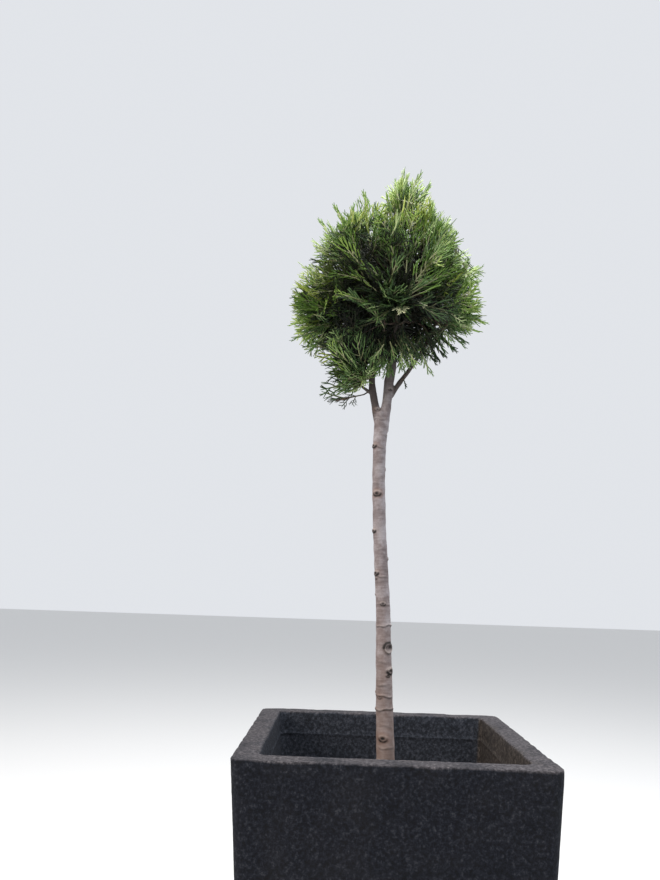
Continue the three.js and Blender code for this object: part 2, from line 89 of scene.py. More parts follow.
def hex_colour(text):
    """An sRGB hex value as linear red, green, blue and alpha."""
    values = [int(text[i:i + 2], 16) / 255 for i in (1, 3, 5)]
    linear = [v / 12.92 if v <= 0.04045 else ((v + 0.055) / 1.055) ** 2.4 for v in values]
    return (*linear, 1.0)


def add_node(tree, kind, inputs=None, **settings):
    """A new node: settings are its own options, and inputs are values or other nodes' sockets."""
    node = tree.nodes.new(kind)
    for name, value in settings.items():
        setattr(node, name, value)
    for socket, value in (inputs or {}).items():
        if isinstance(value, bpy.types.NodeSocket):
            tree.links.new(value, node.inputs[socket])
        else:
            node.inputs[socket].default_value = value
    return node


def new_material(name):
    """A material and its node tree, with the shader and the coordinates that its patterns read."""
    material = bpy.data.materials.new(name)
    material.use_nodes = True
    tree = material.node_tree
    shader = tree.nodes["Principled BSDF"]
    place = add_node(tree, "ShaderNodeTexCoord").outputs["Object"]
    return material, tree, shader, place


def new_piece(name, mesh, material, smooth=True):
    """A mesh object at the origin, with its material, in the scene."""
    piece = bpy.data.objects.new(name, mesh)
    mesh.materials.append(material)
    mesh.polygons.foreach_set("use_smooth", [smooth] * len(mesh.polygons))
    bpy.context.scene.collection.objects.link(piece)
    return piece


def mesh_of(name, shape):
    """A finished bmesh as a mesh."""
    mesh = bpy.data.meshes.new(name)
    shape.to_mesh(mesh)
    shape.free()
    return mesh


floor_shape = bmesh.new()
bmesh.ops.create_grid(floor_shape, x_segments=2, y_segments=2, size=FLOOR_SIZE / 2)
floor_material, _, floor_shader, _ = new_material("studio_floor")
floor_shader.inputs["Base Color"].default_value = hex_colour(FLOOR_COLOUR)
floor_shader.inputs["Roughness"].default_value = FLOOR_ROUGHNESS
floor = new_piece("studio_floor", mesh_of("studio_floor", floor_shape), floor_material, smooth=False)

world = bpy.data.worlds.new("surround")
world.use_nodes = True
background = world.node_tree.nodes["Background"]
background.inputs["Color"].default_value = hex_colour(SURROUND_COLOUR)
background.inputs["Strength"].default_value = SURROUND_STRENGTH
bpy.context.scene.world = world

for panel_name, panel_place, panel_size, panel_watts, panel_colour in LIGHT_PANELS:
    panel_data = bpy.data.lights.new(panel_name, "AREA")
    panel_data.shape = "DISK"
    panel_data.size = panel_size
    panel_data.energy = panel_watts
    panel_data.color = hex_colour(panel_colour)[:3]
    panel = bpy.data.objects.new(panel_name, panel_data)
    panel.location = panel_place
    panel.rotation_euler = (LIT_POINT - Vector(panel_place)).to_track_quat("-Z", "Y").to_euler()
    bpy.context.scene.collection.objects.link(panel)


# The planter: a square tub of cast anthracite concrete with crushed stone in it. The walls are 40 mm
# thick and taper towards the foot, a low ridge runs round inside, and wear has softened the edges of the
# rim and the foot. Its half widths are measured to the sharp edges, before they are worn.
PLANTER_WALL = 0.040
PLANTER_FLOOR = 0.045
PLANTER_CORNER_RADIUS = 0.020
PLANTER_TOP_HALF = 0.250
PLANTER_FOOT_HALF = 0.2105
RIDGE_DROP = 0.042
RIDGE_STEP = 0.002
RIDGE_SHARE = 0.5
EDGE_WEAR_RADIUS = 0.0032
SHARP_ANGLE = 1.0
PLANTER_GRID = 0.009
# The cast surface: how high its slow waves and its grain stand, how deep the rim's edges are chipped and
# how far from them, how many of each there are to a metre, and how much of the foot stays flat
WAVINESS = 0.00025
WAVES_PER_METRE = 9
GRAIN_HEIGHT = 0.00025
GRAIN_PER_METRE = 160
CHIP_DEPTH = 0.003
CHIP_REACH = 0.012
CHIPS_PER_METRE = 45
CHIP_THRESHOLD = 0.05
FLAT_FOOT = 0.002

planter_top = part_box("planter")[1].z
planter_slope = (PLANTER_TOP_HALF - PLANTER_FOOT_HALF) / planter_top


def outer_half(z):
    """Half the planter's outer width at a height."""
    return PLANTER_FOOT_HALF + planter_slope * z


def rounded_block(shape, low_half, high_half, low_z, high_z):
    """A square block with round upright edges that widens upwards. Returns its top face."""
    bmesh.ops.create_cone(
        shape, cap_ends=True, segments=4, radius1=low_half * math.sqrt(2), radius2=high_half * math.sqrt(2),
        depth=high_z - low_z,
        matrix=Matrix.Translation((0, 0, (low_z + high_z) / 2)) @ Matrix.Rotation(math.pi / 4, 4, "Z"),
    )
    upright = [edge for edge in shape.edges if abs(edge.verts[0].co.z - edge.verts[1].co.z) > 1e-4]
    bmesh.ops.bevel(
        shape, geom=upright, offset=PLANTER_CORNER_RADIUS, offset_type="OFFSET", segments=5,
        profile=0.5, affect="EDGES", material=-1,
    )
    return max(shape.faces, key=lambda face: face.calc_center_median().z)


def sink(shape, face, levels):
    """Extrudes a level face through half widths and heights, starting from the first of them."""
    for (half_before, _), (half_width, z) in zip(levels, levels[1:]):
        face = bmesh.ops.extrude_discrete_faces(shape, faces=[face])["faces"][0]
        share = half_width / half_before
        bmesh.ops.scale(shape, verts=face.verts, vec=(share, share, 1))
        for vert in face.verts:
            vert.co.z = z


def inner_half(z):
    """Half the planter's inner width at a height."""
    return outer_half(z) - PLANTER_WALL


def cut_grid(shape, axis, low, high, step):
    """Cuts a shape across one axis at every step from low to high, so that its skin can be worked."""
    for i in range(1, int((high - low) / step)):
        where = low + i * step
        bmesh.ops.bisect_plane(
            shape, geom=shape.verts[:] + shape.edges[:] + shape.faces[:], dist=1e-6,
            plane_co=[where if k == axis else 0 for k in range(3)],
            plane_no=[1 if k == axis else 0 for k in range(3)],
        )


ridge_height = planter_top - RIDGE_DROP
planter_shape = bmesh.new()
rim_face = rounded_block(planter_shape, outer_half(0), outer_half(planter_top), 0, planter_top)
sink(planter_shape, rim_face, [
    (outer_half(planter_top), planter_top),
    (inner_half(planter_top), planter_top),
    (inner_half(ridge_height + RIDGE_STEP), ridge_height + RIDGE_STEP),
    (inner_half(ridge_height) - RIDGE_STEP * RIDGE_SHARE, ridge_height),
    (inner_half(ridge_height - RIDGE_STEP), ridge_height - RIDGE_STEP),
    (inner_half(PLANTER_FLOOR), PLANTER_FLOOR),
])
worn_edges = [
    edge for edge in planter_shape.edges
    if edge.is_manifold and edge.calc_face_angle() > SHARP_ANGLE
    and abs(edge.verts[0].co.z - edge.verts[1].co.z) < 1e-5
    and not PLANTER_FLOOR / 2 < edge.verts[0].co.z < ridge_height + RIDGE_STEP * 2
]
bmesh.ops.bevel(
    planter_shape, geom=worn_edges, offset=EDGE_WEAR_RADIUS, offset_type="OFFSET", segments=3,
    profile=0.5, affect="EDGES", material=-1,
)
cut_grid(planter_shape, 0, -PLANTER_TOP_HALF, PLANTER_TOP_HALF, PLANTER_GRID)
cut_grid(planter_shape, 1, -PLANTER_TOP_HALF, PLANTER_TOP_HALF, PLANTER_GRID)
cut_grid(planter_shape, 2, 0, planter_top, PLANTER_GRID)
bmesh.ops.remove_doubles(planter_shape, verts=planter_shape.verts, dist=1e-5)
planter_shape.normal_update()
for vert in planter_shape.verts:
    wave = noise.noise(vert.co * WAVES_PER_METRE) * WAVINESS
    rim = max(0.0, 1 - (planter_top - vert.co.z) / CHIP_REACH)
    side = max(abs(vert.co.x), abs(vert.co.y))
    edge_near = max(0.0, 1 - abs(side - outer_half(vert.co.z)) / CHIP_REACH) * rim
    chip = max(0.0, noise.noise(vert.co * CHIPS_PER_METRE) - CHIP_THRESHOLD) * CHIP_DEPTH * edge_near
    grain = noise.noise(vert.co * GRAIN_PER_METRE) * GRAIN_HEIGHT
    if vert.co.z > FLAT_FOOT:
        vert.co += vert.normal * (wave + grain - chip)

# Cast concrete with crushed stone, dark blue-grey, matt and mottled, with faint patches of dust on the
# outside. Its rim is painted paler, with a ragged edge, as painted light from the sky above. The inside walls
# are painted paler as painted light, and the inside wall on the right paler and warmer still, as painted warm
# light from the left. The stone's 2 to 4 mm grains are drawn as flecks of 4 to 6 mm, so that they show
FLECKS_PER_METRE = 170
GRAINS_PER_METRE = 420
# Painted light: the rim's top band is painted paler, as light from the sky above, and these set where that
# band fades in, with a ragged edge
RIM_LIGHT_FROM = 0.0025
RIM_LIGHT_TO = 0.0065
RAGGED_EDGE = 0.012
INSIDE_BLEND = 0.015
# The inside wall on the right faces the warm light from the left and is painted paler and warmer as painted
# warm light, blended in over this width
WARM_LIT_BLEND = 0.008
DUST_COLOUR = "#3d3a38"
# The Mix node's sockets for colours are known by number, because its floats have the same names
FACTOR, COLOUR_A, COLOUR_B = 0, 6, 7
MIXED = 2
CONCRETE_TONES = ((0.36, "#07090e"), (0.48, "#0e1119"), (0.57, "#191c24"), (0.68, "#313338"))
# Painted light: the inside walls are painted paler than the outside, as if lit more
INSIDE_LIT_TONES = ((0.36, "#1a1d23"), (0.48, "#252930"), (0.57, "#343841"), (0.68, "#484b52"))
# Painted warm light on the inside wall on the right
WARM_LIT_TONES = ((0.36, "#201d1c"), (0.48, "#322e2c"), (0.57, "#46413d"), (0.68, "#5d5651"))
RIM_LIGHT_TONES = ((0.36, "#232123"), (0.47, "#3a383b"), (0.57, "#524f52"), (0.68, "#6f6a6c"))


def tone_ramp(tree, source, tones):
    """Tones dealt along a pattern's values."""
    ramp = add_node(tree, "ShaderNodeValToRGB", {"Fac": source})
    first, last = ramp.color_ramp.elements
    first.position, first.color = tones[0][0], hex_colour(tones[0][1])
    last.position, last.color = tones[-1][0], hex_colour(tones[-1][1])
    for position, colour in tones[1:-1]:
        ramp.color_ramp.elements.new(position).color = hex_colour(colour)
    return ramp.outputs["Color"]


def mixed(tree, share, one, other):
    """Two colours mixed, each a socket or a value."""
    inputs = {FACTOR: share, COLOUR_A: one, COLOUR_B: other}
    return add_node(tree, "ShaderNodeMix", inputs, data_type="RGBA").outputs[MIXED]


concrete, tree, shader, place = new_material("cast_concrete_with_crushed_stone")
flecks = add_node(
    tree, "ShaderNodeTexNoise",
    {"Vector": place, "Scale": FLECKS_PER_METRE, "Detail": 4.0, "Roughness": 0.75},
)
grains = add_node(tree, "ShaderNodeTexVoronoi", {"Vector": place, "Scale": GRAINS_PER_METRE})
cloud = add_node(tree, "ShaderNodeTexNoise", {"Vector": place, "Scale": 14.0, "Detail": 6.0})
body = tone_ramp(tree, flecks.outputs["Fac"], CONCRETE_TONES)
# Painted light: the rim's paler tones
rim_lit = tone_ramp(tree, flecks.outputs["Fac"], RIM_LIGHT_TONES)
height = add_node(tree, "ShaderNodeSeparateXYZ", {"Vector": place})
ragged = add_node(
    tree, "ShaderNodeMath", {0: cloud.outputs["Fac"], 1: RAGGED_EDGE, 2: height.outputs["Z"]},
    operation="MULTIPLY_ADD",
)
on_rim = add_node(
    tree, "ShaderNodeMapRange",
    {
        "Value": ragged.outputs["Value"],
        "From Min": planter_top + RIM_LIGHT_FROM, "From Max": planter_top + RIM_LIGHT_TO,
    },
)
dust = add_node(
    tree, "ShaderNodeMapRange",
    {"Value": cloud.outputs["Fac"], "From Min": 0.45, "From Max": 0.85, "To Max": 0.14},
)
dusty = mixed(tree, dust.outputs["Result"], body, hex_colour(DUST_COLOUR))
# Painted light: the inside walls' paler tones
inside = tone_ramp(tree, flecks.outputs["Fac"], INSIDE_LIT_TONES)
inside_wall = add_node(tree, "ShaderNodeAttribute", attribute_name="inside_wall")
# Painted warm light: the inside wall on the right
browner_tone = tone_ramp(tree, flecks.outputs["Fac"], WARM_LIT_TONES)
warm_lit_wall = add_node(tree, "ShaderNodeAttribute", attribute_name="warm_lit_wall")
inner = mixed(tree, warm_lit_wall.outputs["Fac"], inside, browner_tone)
walls = mixed(tree, inside_wall.outputs["Fac"], dusty, inner)
# The rim's painted light laid over the walls
rim_lit_walls = mixed(tree, on_rim.outputs["Result"], walls, rim_lit)
rough_stone = add_node(
    tree, "ShaderNodeMath", {0: grains.outputs["Distance"], 1: 0.6, 2: flecks.outputs["Fac"]},
    operation="MULTIPLY_ADD",
)
relief = add_node(
    tree, "ShaderNodeBump",
    {"Height": rough_stone.outputs["Value"], "Strength": 0.55, "Distance": 0.0012},
)
tree.links.new(rim_lit_walls, shader.inputs["Base Color"])
tree.links.new(relief.outputs["Normal"], shader.inputs["Normal"])
shader.inputs["Roughness"].default_value = 0.85
shader.inputs["Specular IOR Level"].default_value = 0.18
planter_mesh = mesh_of("planter_cast", planter_shape)
# Masks of the inside walls, painted paler as painted light, and of the inside wall on the right, painted
# warmer as painted warm light
inside_values = []
warm_lit_values = []
for vert in planter_mesh.vertices:
    x, y, z = vert.co
    within_rim = outer_half(z) - max(abs(x), abs(y)) - PLANTER_WALL / 2
    to_the_right = x - abs(y) + WARM_LIT_BLEND / 2
    inside_values.append(min(1.0, max(0.0, within_rim / INSIDE_BLEND)))
    warm_lit_values.append(min(1.0, max(0.0, to_the_right / WARM_LIT_BLEND)))
planter_mesh.attributes.new("inside_wall", "FLOAT", "POINT").data.foreach_set("value", inside_values)
planter_mesh.attributes.new("warm_lit_wall", "FLOAT", "POINT").data.foreach_set("value", warm_lit_values)
planter = new_piece("planter_cast", planter_mesh, concrete, smooth=True)
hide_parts("planter")
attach(planter, "root")


# The soil: potting soil pressed into the tub to 100 mm below the rim, lumpy, with loose crumbs on it.
# Only its top 30 mm are drawn, because nothing below them is seen, and 0.6 mm parts it from the walls.
SOIL_GAP = 0.0006
SOIL_DEPTH = 0.030
SOIL_GRID = 0.007
LUMP_HEIGHT = 0.0045
LUMPS_PER_METRE = 34
LUMPS_FADE = 0.01
CRUMBS = 900
CRUMB_RADII = (0.0012, 0.0042)
CRUMB_MARGIN = 0.006

soil_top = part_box("soil")[1].z
soil_half = inner_half(soil_top) - SOIL_GAP
soil_shape = bmesh.new()
rounded_block(
    soil_shape, soil_half - planter_slope * SOIL_DEPTH, soil_half, soil_top - SOIL_DEPTH, soil_top,
)
cut_grid(soil_shape, 0, -soil_half, soil_half, SOIL_GRID)
cut_grid(soil_shape, 1, -soil_half, soil_half, SOIL_GRID)


def soil_height(x, y):
    """The lumpy top of the soil, which lies level along the walls."""
    lumps = noise.fractal(Vector((x, y, 0)) * LUMPS_PER_METRE, 0.9, 2.1, 4) * LUMP_HEIGHT
    inside = min(1.0, (soil_half - max(abs(x), abs(y))) / LUMPS_FADE)
    return soil_top + lumps * max(0.0, inside) - LUMP_HEIGHT * 0.6


for vert in soil_shape.verts:
    if vert.co.z > soil_top - 1e-4:
        vert.co.z = soil_height(vert.co.x, vert.co.y)
chance = np.random.default_rng(4)
for _ in range(CRUMBS):
    x, y = chance.uniform(-soil_half + CRUMB_MARGIN, soil_half - CRUMB_MARGIN, 2)
    radius = chance.uniform(*CRUMB_RADII) * chance.uniform(0.5, 1)
    squash = Matrix.Diagonal((chance.uniform(0.7, 1.2), 1, chance.uniform(0.5, 0.9), 1))
    turn = Matrix.Rotation(chance.uniform(0, math.tau), 4, "Z")
    spot = Matrix.Translation((x, y, soil_height(x, y) + radius * 0.3))
    bmesh.ops.create_icosphere(soil_shape, subdivisions=1, radius=radius, matrix=spot @ turn @ squash)

# Potting soil: dark brown peat, dead matt, with paler dry bits. They are 1 to 3 mm across, and are drawn
# about 6 mm wide so that they show
PEAT_BITS_PER_METRE = 160.0
SOIL_TONES = ((0.35, "#2b221c"), (0.72, "#6d5a4a"))
potting_soil, tree, shader, place = new_material("potting_soil")
peat = add_node(
    tree, "ShaderNodeTexNoise",
    {"Vector": place, "Scale": PEAT_BITS_PER_METRE, "Detail": 6.0, "Roughness": 0.7},
)
grit = add_node(
    tree, "ShaderNodeBump", {"Height": peat.outputs["Fac"], "Strength": 0.7, "Distance": 0.002},
)
tree.links.new(tone_ramp(tree, peat.outputs["Fac"], SOIL_TONES), shader.inputs["Base Color"])
tree.links.new(grit.outputs["Normal"], shader.inputs["Normal"])
shader.inputs["Roughness"].default_value = 0.95
soil = new_piece("soil_surface", mesh_of("soil_surface", soil_shape), potting_soil, smooth=True)
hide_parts("soil")
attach(soil, "root")


# The stem and its boughs: one smooth grey-brown trunk that parts in two below the crown. Every limb is
# a tube along its middle line, fused with the others, with the bark's relief pressed into the skin. A
# line's points are x, y, z and the wood's radius, in millimetres, and each bough starts inside its parent.
TRUNK_LINE = (
    (-1, 0, 399, 24), (-1.4, 0, 416, 19), (-1.9, 0.5, 440, 16.4), (-2.4, 0.5, 479, 15.7),
    (-5.5, 1, 557, 14.9), (-8, 0, 640, 13.9), (-10.5, -1, 719, 13), (-16.7, 0, 819, 12.4),
    (-21, 1, 900, 12.1), (-23.2, 0, 990, 12.2), (-21.6, 0, 1060, 12.8), (-21, 0, 1084, 11.6),
    (-21, 0, 1098, 10.2), (-21, 0, 1106, 6),
)
LEFT_LINE = (
    (-25, 0, 1070, 8.2), (-33.6, 0, 1118, 7.2), (-39.2, 1, 1150, 6.6), (-40.2, 2, 1185, 5.6),
    (-41, 3, 1225, 4.8), (-52, 4, 1275, 4.2), (-66, 2, 1306, 3.8),
)
LEADER_LINE = (
    (-17, 0, 1060, 10.6), (-9.4, 0, 1121, 9.2), (-6, 0, 1161, 9.4), (-1, 1, 1197, 9.2),
    (4, 2, 1260, 8.6), (10, 1, 1340, 7), (16, 2, 1420, 5.2), (20, 3, 1478, 4.2),
)
SIDE_LINE = (
    (-2, 0, 1132, 5.4), (14, -1, 1158, 4.9), (32, -1, 1184, 4.2), (61, 0, 1230, 3.8), (76, 0, 1262, 3.8),
)
LOW_LEFT_LINE = ((-36, 0, 1134, 3.4), (-48, -4, 1140, 3.2), (-62, -9, 1149, 2.9), (-76, -12, 1160, 2.6))
FRONT_LINE = ((2, 0, 1236, 4.6), (3, -26, 1256, 4), (4, -46, 1270, 3.4))
BACK_LINE = ((4, 2, 1250, 4.6), (0, 32, 1268, 4), (-4, 54, 1284, 3.4))
UPPER_LEFT_LINE = ((8, 0, 1316, 4.4), (-20, -14, 1358, 3.7), (-40, -22, 1386, 3.1))
UPPER_RIGHT_LINE = ((10, 1, 1326, 4.2), (30, -14, 1362, 3.5), (42, -22, 1386, 3))
UPPER_BACK_LINE = ((12, 2, 1342, 4.2), (6, 28, 1376, 3.5), (1, 42, 1396, 3))
LIMBS = (
    TRUNK_LINE, LEFT_LINE, LEADER_LINE, SIDE_LINE, LOW_LEFT_LINE, FRONT_LINE, BACK_LINE,
    UPPER_LEFT_LINE, UPPER_RIGHT_LINE, UPPER_BACK_LINE,
)
LIMB_SIDES = 20
LIMB_STEP = 6.0
BARK_VOXEL = 0.0013
SMOOTHING_PASSES = 4
# The trunk's foot stands on the soil's level in four low lobes, which die out as it rises
FOOT_LEVEL = 400.0
ROOT_LOBES = 4
ROOT_LOBE_DEPTH = 0.14
ROOT_LOBE_TURN = 0.7
ROOT_FLARE_HEIGHT = 60.0
# A limb is drawn this much thicker, because fusing and smoothing wear some of it away
WOOD_SWELLING = 1.04


def smooth_line(line, step):
    """A line of middle points and radii, as Catmull-Rom points about one step apart."""
    points = np.array(line, float)
    padded = np.vstack([2 * points[0] - points[1], points, 2 * points[-1] - points[-2]])
    result = []
    for i in range(1, len(padded) - 2):
        before, start, end, after = padded[i - 1:i + 3]
        count = max(2, int(np.linalg.norm(end[:3] - start[:3]) / step))
        for t in np.arange(count) / count:
            result.append((
                2 * start + (end - before) * t + (2 * before - 5 * start + 4 * end - after) * t ** 2
                + (3 * start - before - 3 * end + after) * t ** 3
            ) / 2)
    result.append(points[-1])
    return np.array(result)


def limb(shape, line, sides, step):
    """A tapering tube along a line of millimetre points, closed at both ends."""
    points = smooth_line(line, step)
    along = np.gradient(points[:, :3], axis=0)
    drum = bmesh.ops.create_cone(
        shape, cap_ends=True, segments=sides, radius1=1, radius2=1, depth=1,
    )["verts"]
    face = max(drum[0].link_faces[:] + drum[1].link_faces[:], key=lambda face: face.calc_center_median().z)
    rings = [[vert for vert in drum if vert.co.z < 0], list(face.verts)]
    for _ in points[2:]:
        face = bmesh.ops.extrude_discrete_faces(shape, faces=[face])["faces"][0]
        rings.append(list(face.verts))
    for ring, point, direction in zip(rings, points, along):
        turn = Vector((0, 0, 1)).rotation_difference(Vector(direction)).to_matrix()
        middle = Vector(point[:3]) / 1000
        flare = 0
        if line is TRUNK_LINE:
            flare = min(1.0, max(0.0, 1 - (point[2] - FOOT_LEVEL) / ROOT_FLARE_HEIGHT))
        for vert in ring:
            bearing = math.atan2(vert.co.y, vert.co.x)
            lobe = 1 + ROOT_LOBE_DEPTH * flare * math.cos(ROOT_LOBES * bearing + ROOT_LOBE_TURN)
            radius = point[3] * WOOD_SWELLING * lobe / 1000
            vert.co = middle + turn @ Vector((math.cos(bearing), math.sin(bearing), 0)) * radius


def limb_distance(points, line):
    """How far each point is from a limb's skin, in millimetres."""
    course = smooth_line(line, LIMB_STEP)
    apart = np.linalg.norm(points[:, None, :] - course[None, :, :3], axis=2) - course[None, :, 3]
    return apart.min(axis=1)


# Each knot is what is left of a pruned shoot: its height, its bearing with 0 at the right and -90 in front,
# its radius, how far it stands out, how deep its heart is sunk, how dark its scar and the painted shade below
# it are, which also sets how pale its painted highlight is, and how rusty
KNOTS = (
    (1143, -62, 4.4, 0.8, 0.8, 0.9, 0.2), (1102, -150, 5.6, 1.6, 1.0, 0.8, 0.4),
    (1050, -24, 5.6, 0.6, 0.3, 0.5, 0.0),
    (1029, -148, 6.6, 3.6, 1.8, 1.0, 0.6), (983, -8, 4.4, 1.7, 0.2, 0.2, 0.0),
    (935, -112, 8.0, 1.6, 2.4, 1.2, 0.8), (863.6, -158, 6.0, 3.8, 1.6, 1.2, 0.3),
    (812, -8, 4.2, 2.2, 0.2, 0.4, 0.0), (785, -144, 6.4, 3.4, 1.6, 1.2, 0.4),
    (775, -147, 3.0, 0.8, 0.8, 0.9, 0.2), (746, -170, 3.2, 1.4, 0.3, 0.4, 0.0),
    (728, -92, 5.4, 0.8, 1.4, 1.0, 0.1), (690, -14, 3.8, 1.8, 0.3, 0.4, 0.1),
    (609, -36, 8.8, 3.4, 1.8, 1.1, 0.2), (601, -62, 4.4, 0.8, 0.8, 0.9, 0.3),
    (572, -172, 3.0, 1.6, 0.3, 0.4, 0.1), (564, -129, 5.0, 0.8, 1.2, 0.8, 0.6),
    (543, -172, 3.4, 1.2, 0.4, 0.6, 0.7), (493, -107, 8.0, 1.4, 1.8, 1.0, 0.8),
)
# The largest scar has healed to an eye: a raised lip, painted pale as a painted highlight, with painted shade
# darkening its edges, about a hollow, its pupil, which is dark with the scar's own colour and painted shade
# and lies a little above the middle and to one side
EYE_HEIGHT = 649.0
EYE_BEARING = -52.0
EYE_RADIUS = 10.5
PUPIL_RISE = 3.0
PUPIL_TURN = 10.0
# Where a shoot or a flush of growth ended, a raised ring runs part of the way round, painted pale on top as a
# painted highlight, with a painted shadow line below it: its height, the bearing of its middle, how far it
# runs each way, and how far it stands out
RINGS = (
    (1084, -110, 70, 0.5), (1058, -40, 60, 0.3), (1026, -120, 90, 0.7), (960, -40, 60, 0.3),
    (905, -100, 60, 0.3), (832, -60, 60, 0.3), (780, -135, 90, 0.7), (728, -95, 80, 0.5),
    (690, -80, 110, 0.8), (626, -110, 50, 0.3), (586, -112, 44, 0.7), (566, -110, 90, 0.8),
    (543, -100, 120, 0.8), (516, -80, 60, 0.3), (479, -90, 70, 0.5), (452, -70, 70, 0.4),
)
RING_WIDTH = 1.7
RINGS_END = 1112.0
# Fine cross lines and slow lumps all over the bark, in millimetres, and how many there are to a metre,
# round the stem and up it
LINE_RELIEF = 0.09
LINES_PER_METRE = (45, 45, 260)
LUMP_RELIEF = 0.9
BARK_LUMPS_PER_METRE = (38, 38, 62)
SCAR_AND_SHADE_SPECKLE_PER_METRE = 210
# The relief starts just above the cut on the soil. Above this height the wood is darkened with painted shade,
# where the leaves shade it
RELIEF_STARTS = 400.5
SHADED_WOOD = 1165.0
SHADED_WOOD_BLEND = 60.0
YOUNG_WOOD_BLEND = 4.0

bark_shape = bmesh.new()
for line in LIMBS:
    limb(bark_shape, line, LIMB_SIDES, LIMB_STEP)
raw_bark = bpy.data.objects.new("raw_bark", mesh_of("raw_bark", bark_shape))
bpy.context.scene.collection.objects.link(raw_bark)
fused = raw_bark.modifiers.new("fused", "REMESH")
fused.mode = "VOXEL"
fused.voxel_size = BARK_VOXEL
bpy.context.view_layer.update()
fused_bark = raw_bark.evaluated_get(bpy.context.evaluated_depsgraph_get())
bark_mesh = bpy.data.meshes.new_from_object(fused_bark)
bpy.data.objects.remove(raw_bark)
skin = bmesh.new()
skin.from_mesh(bark_mesh)
for _ in range(SMOOTHING_PASSES):
    bmesh.ops.smooth_vert(
        skin, verts=skin.verts, factor=0.5, use_axis_x=True, use_axis_y=True, use_axis_z=True,
    )
skin.to_mesh(bark_mesh)
skin.free()

count = len(bark_mesh.vertices)
places = np.empty(count * 3)
outward = np.empty(count * 3)
bark_mesh.vertices.foreach_get("co", places)
bark_mesh.vertices.foreach_get("normal", outward)
places = places.reshape(-1, 3) * 1000
outward = outward.reshape(-1, 3)
skin_places = places.copy()
stem = np.array((*TRUNK_LINE[:-1], *LEADER_LINE[1:]), float)


def stem_course(z):
    """The stem's middle and radius at a height: along the trunk, and on along the leader."""
    return [np.interp(z, stem[:, 2], stem[:, k]) for k in (0, 1, 3)]


def stem_spot(z, degrees):
    """The point on the stem's skin at a height and a bearing."""
    x, y, wood = stem_course(z)
    angle = math.radians(degrees)
    spot = np.array((x + wood * math.cos(angle), y + wood * math.sin(angle), z))
    return skin_places[np.linalg.norm(skin_places - spot, axis=1).argmin()]


def hump(distance, width):
    """One at no distance, and falling smoothly to nothing past the width."""
    return np.exp(-(distance / width) ** 2)


axis_x, axis_y, _ = stem_course(places[:, 2])
bearing = np.degrees(np.arctan2(places[:, 1] - axis_y, places[:, 0] - axis_x))
on_stem = np.clip((RINGS_END - places[:, 2]) / 10, 0, 1)
relief_height = np.zeros(count)
scar = np.zeros(count)
rust = np.zeros(count)
cap = np.zeros(count)
for z, middle, spread, rise in RINGS:
    turn = (bearing - middle + 180) % 360 - 180
    wobble = 1.5 * np.sin(np.radians(bearing * 2 + z * 7)) + 0.7 * np.sin(np.radians(bearing * 5 + z))
    fade = np.clip((spread - np.abs(turn)) / 30, 0, 1) * on_stem
    off = places[:, 2] - z - wobble
    relief_height += fade * rise * hump(off, RING_WIDTH)
    # Painted shade: a dark line under each ring
    scar = np.maximum(scar, fade * rise * 0.75 * hump(off + 2.2, 1.6))
# A knot is a collar about a sunk heart. Its heart is dark, partly the scar's own colour and partly painted
# shade in the hollow. Its lower edge is darkened with painted shade, its upper edge is painted pale as a
# painted highlight, and rust spreads round it
for z, middle, radius, rise, pit, dark, rusty in KNOTS:
    off = np.linalg.norm((places - stem_spot(z, middle)) * (1, 1, 1.4), axis=1)
    collar = hump(np.clip(off - radius * 0.5, 0, None), radius * 0.55)
    relief_height += rise * collar - (rise * 0.3 + pit) * hump(off, radius * 0.7)
    edge = hump(off - radius * 0.92, radius * 0.34)
    below = np.clip(0.55 + (z - places[:, 2]) / radius, 0, 1)
    scar = np.maximum(scar, 1.2 * dark * np.maximum(hump(off, radius * 0.55), edge * below))
    # The knot's pale upper edge is a painted highlight
    cap = np.maximum(cap, 0.7 * dark * edge * (1 - below))
    rust = np.maximum(rust, rusty * hump(off - radius, radius * 0.8))
off = np.linalg.norm(places - stem_spot(EYE_HEIGHT, EYE_BEARING), axis=1) / EYE_RADIUS
pupil_spot = stem_spot(EYE_HEIGHT + PUPIL_RISE, EYE_BEARING + PUPIL_TURN)
pupil = np.linalg.norm(places - pupil_spot, axis=1)
upper_lip = np.clip((places[:, 2] - EYE_HEIGHT + 6) / 7, 0.45, 1)
relief_height += 2.4 * hump(off - 0.76, 0.26) - 1.0 * hump(pupil, 3.6)
scar = np.maximum(scar, 1.2 * hump(off - 0.96, 0.24) * upper_lip)
scar = np.maximum(scar, 0.8 * hump(off - 0.55, 0.16) * upper_lip)
scar = np.maximum(scar, hump(pupil, 4.2))
# Painted highlight: the raised rings, collars and lips and the knots' upper edges are painted pale, except in
# the dark scars
painted_highlight = np.clip(np.maximum(relief_height / 2.2, cap) * (scar < 0.5), 0, 1)
for i in range(count):
    metres = places[i] / 1000
    lines = noise.noise(Vector(metres * LINES_PER_METRE)) * LINE_RELIEF
    lumps = noise.noise(Vector(metres * BARK_LUMPS_PER_METRE)) * LUMP_RELIEF
    relief_height[i] += lines + lumps
    scar[i] *= 0.95 + 0.5 * noise.noise(Vector(metres) * SCAR_AND_SHADE_SPECKLE_PER_METRE)
places += outward * (relief_height * (places[:, 2] > RELIEF_STARTS))[:, None]
bark_mesh.vertices.foreach_set("co", (places / 1000).ravel())
old_wood = np.minimum(limb_distance(places, TRUNK_LINE), limb_distance(places, LEADER_LINE))
young_wood = np.full(count, 99.0)
for line in LIMBS:
    if line is not TRUNK_LINE and line is not LEADER_LINE:
        young_wood = np.minimum(young_wood, limb_distance(places, line))
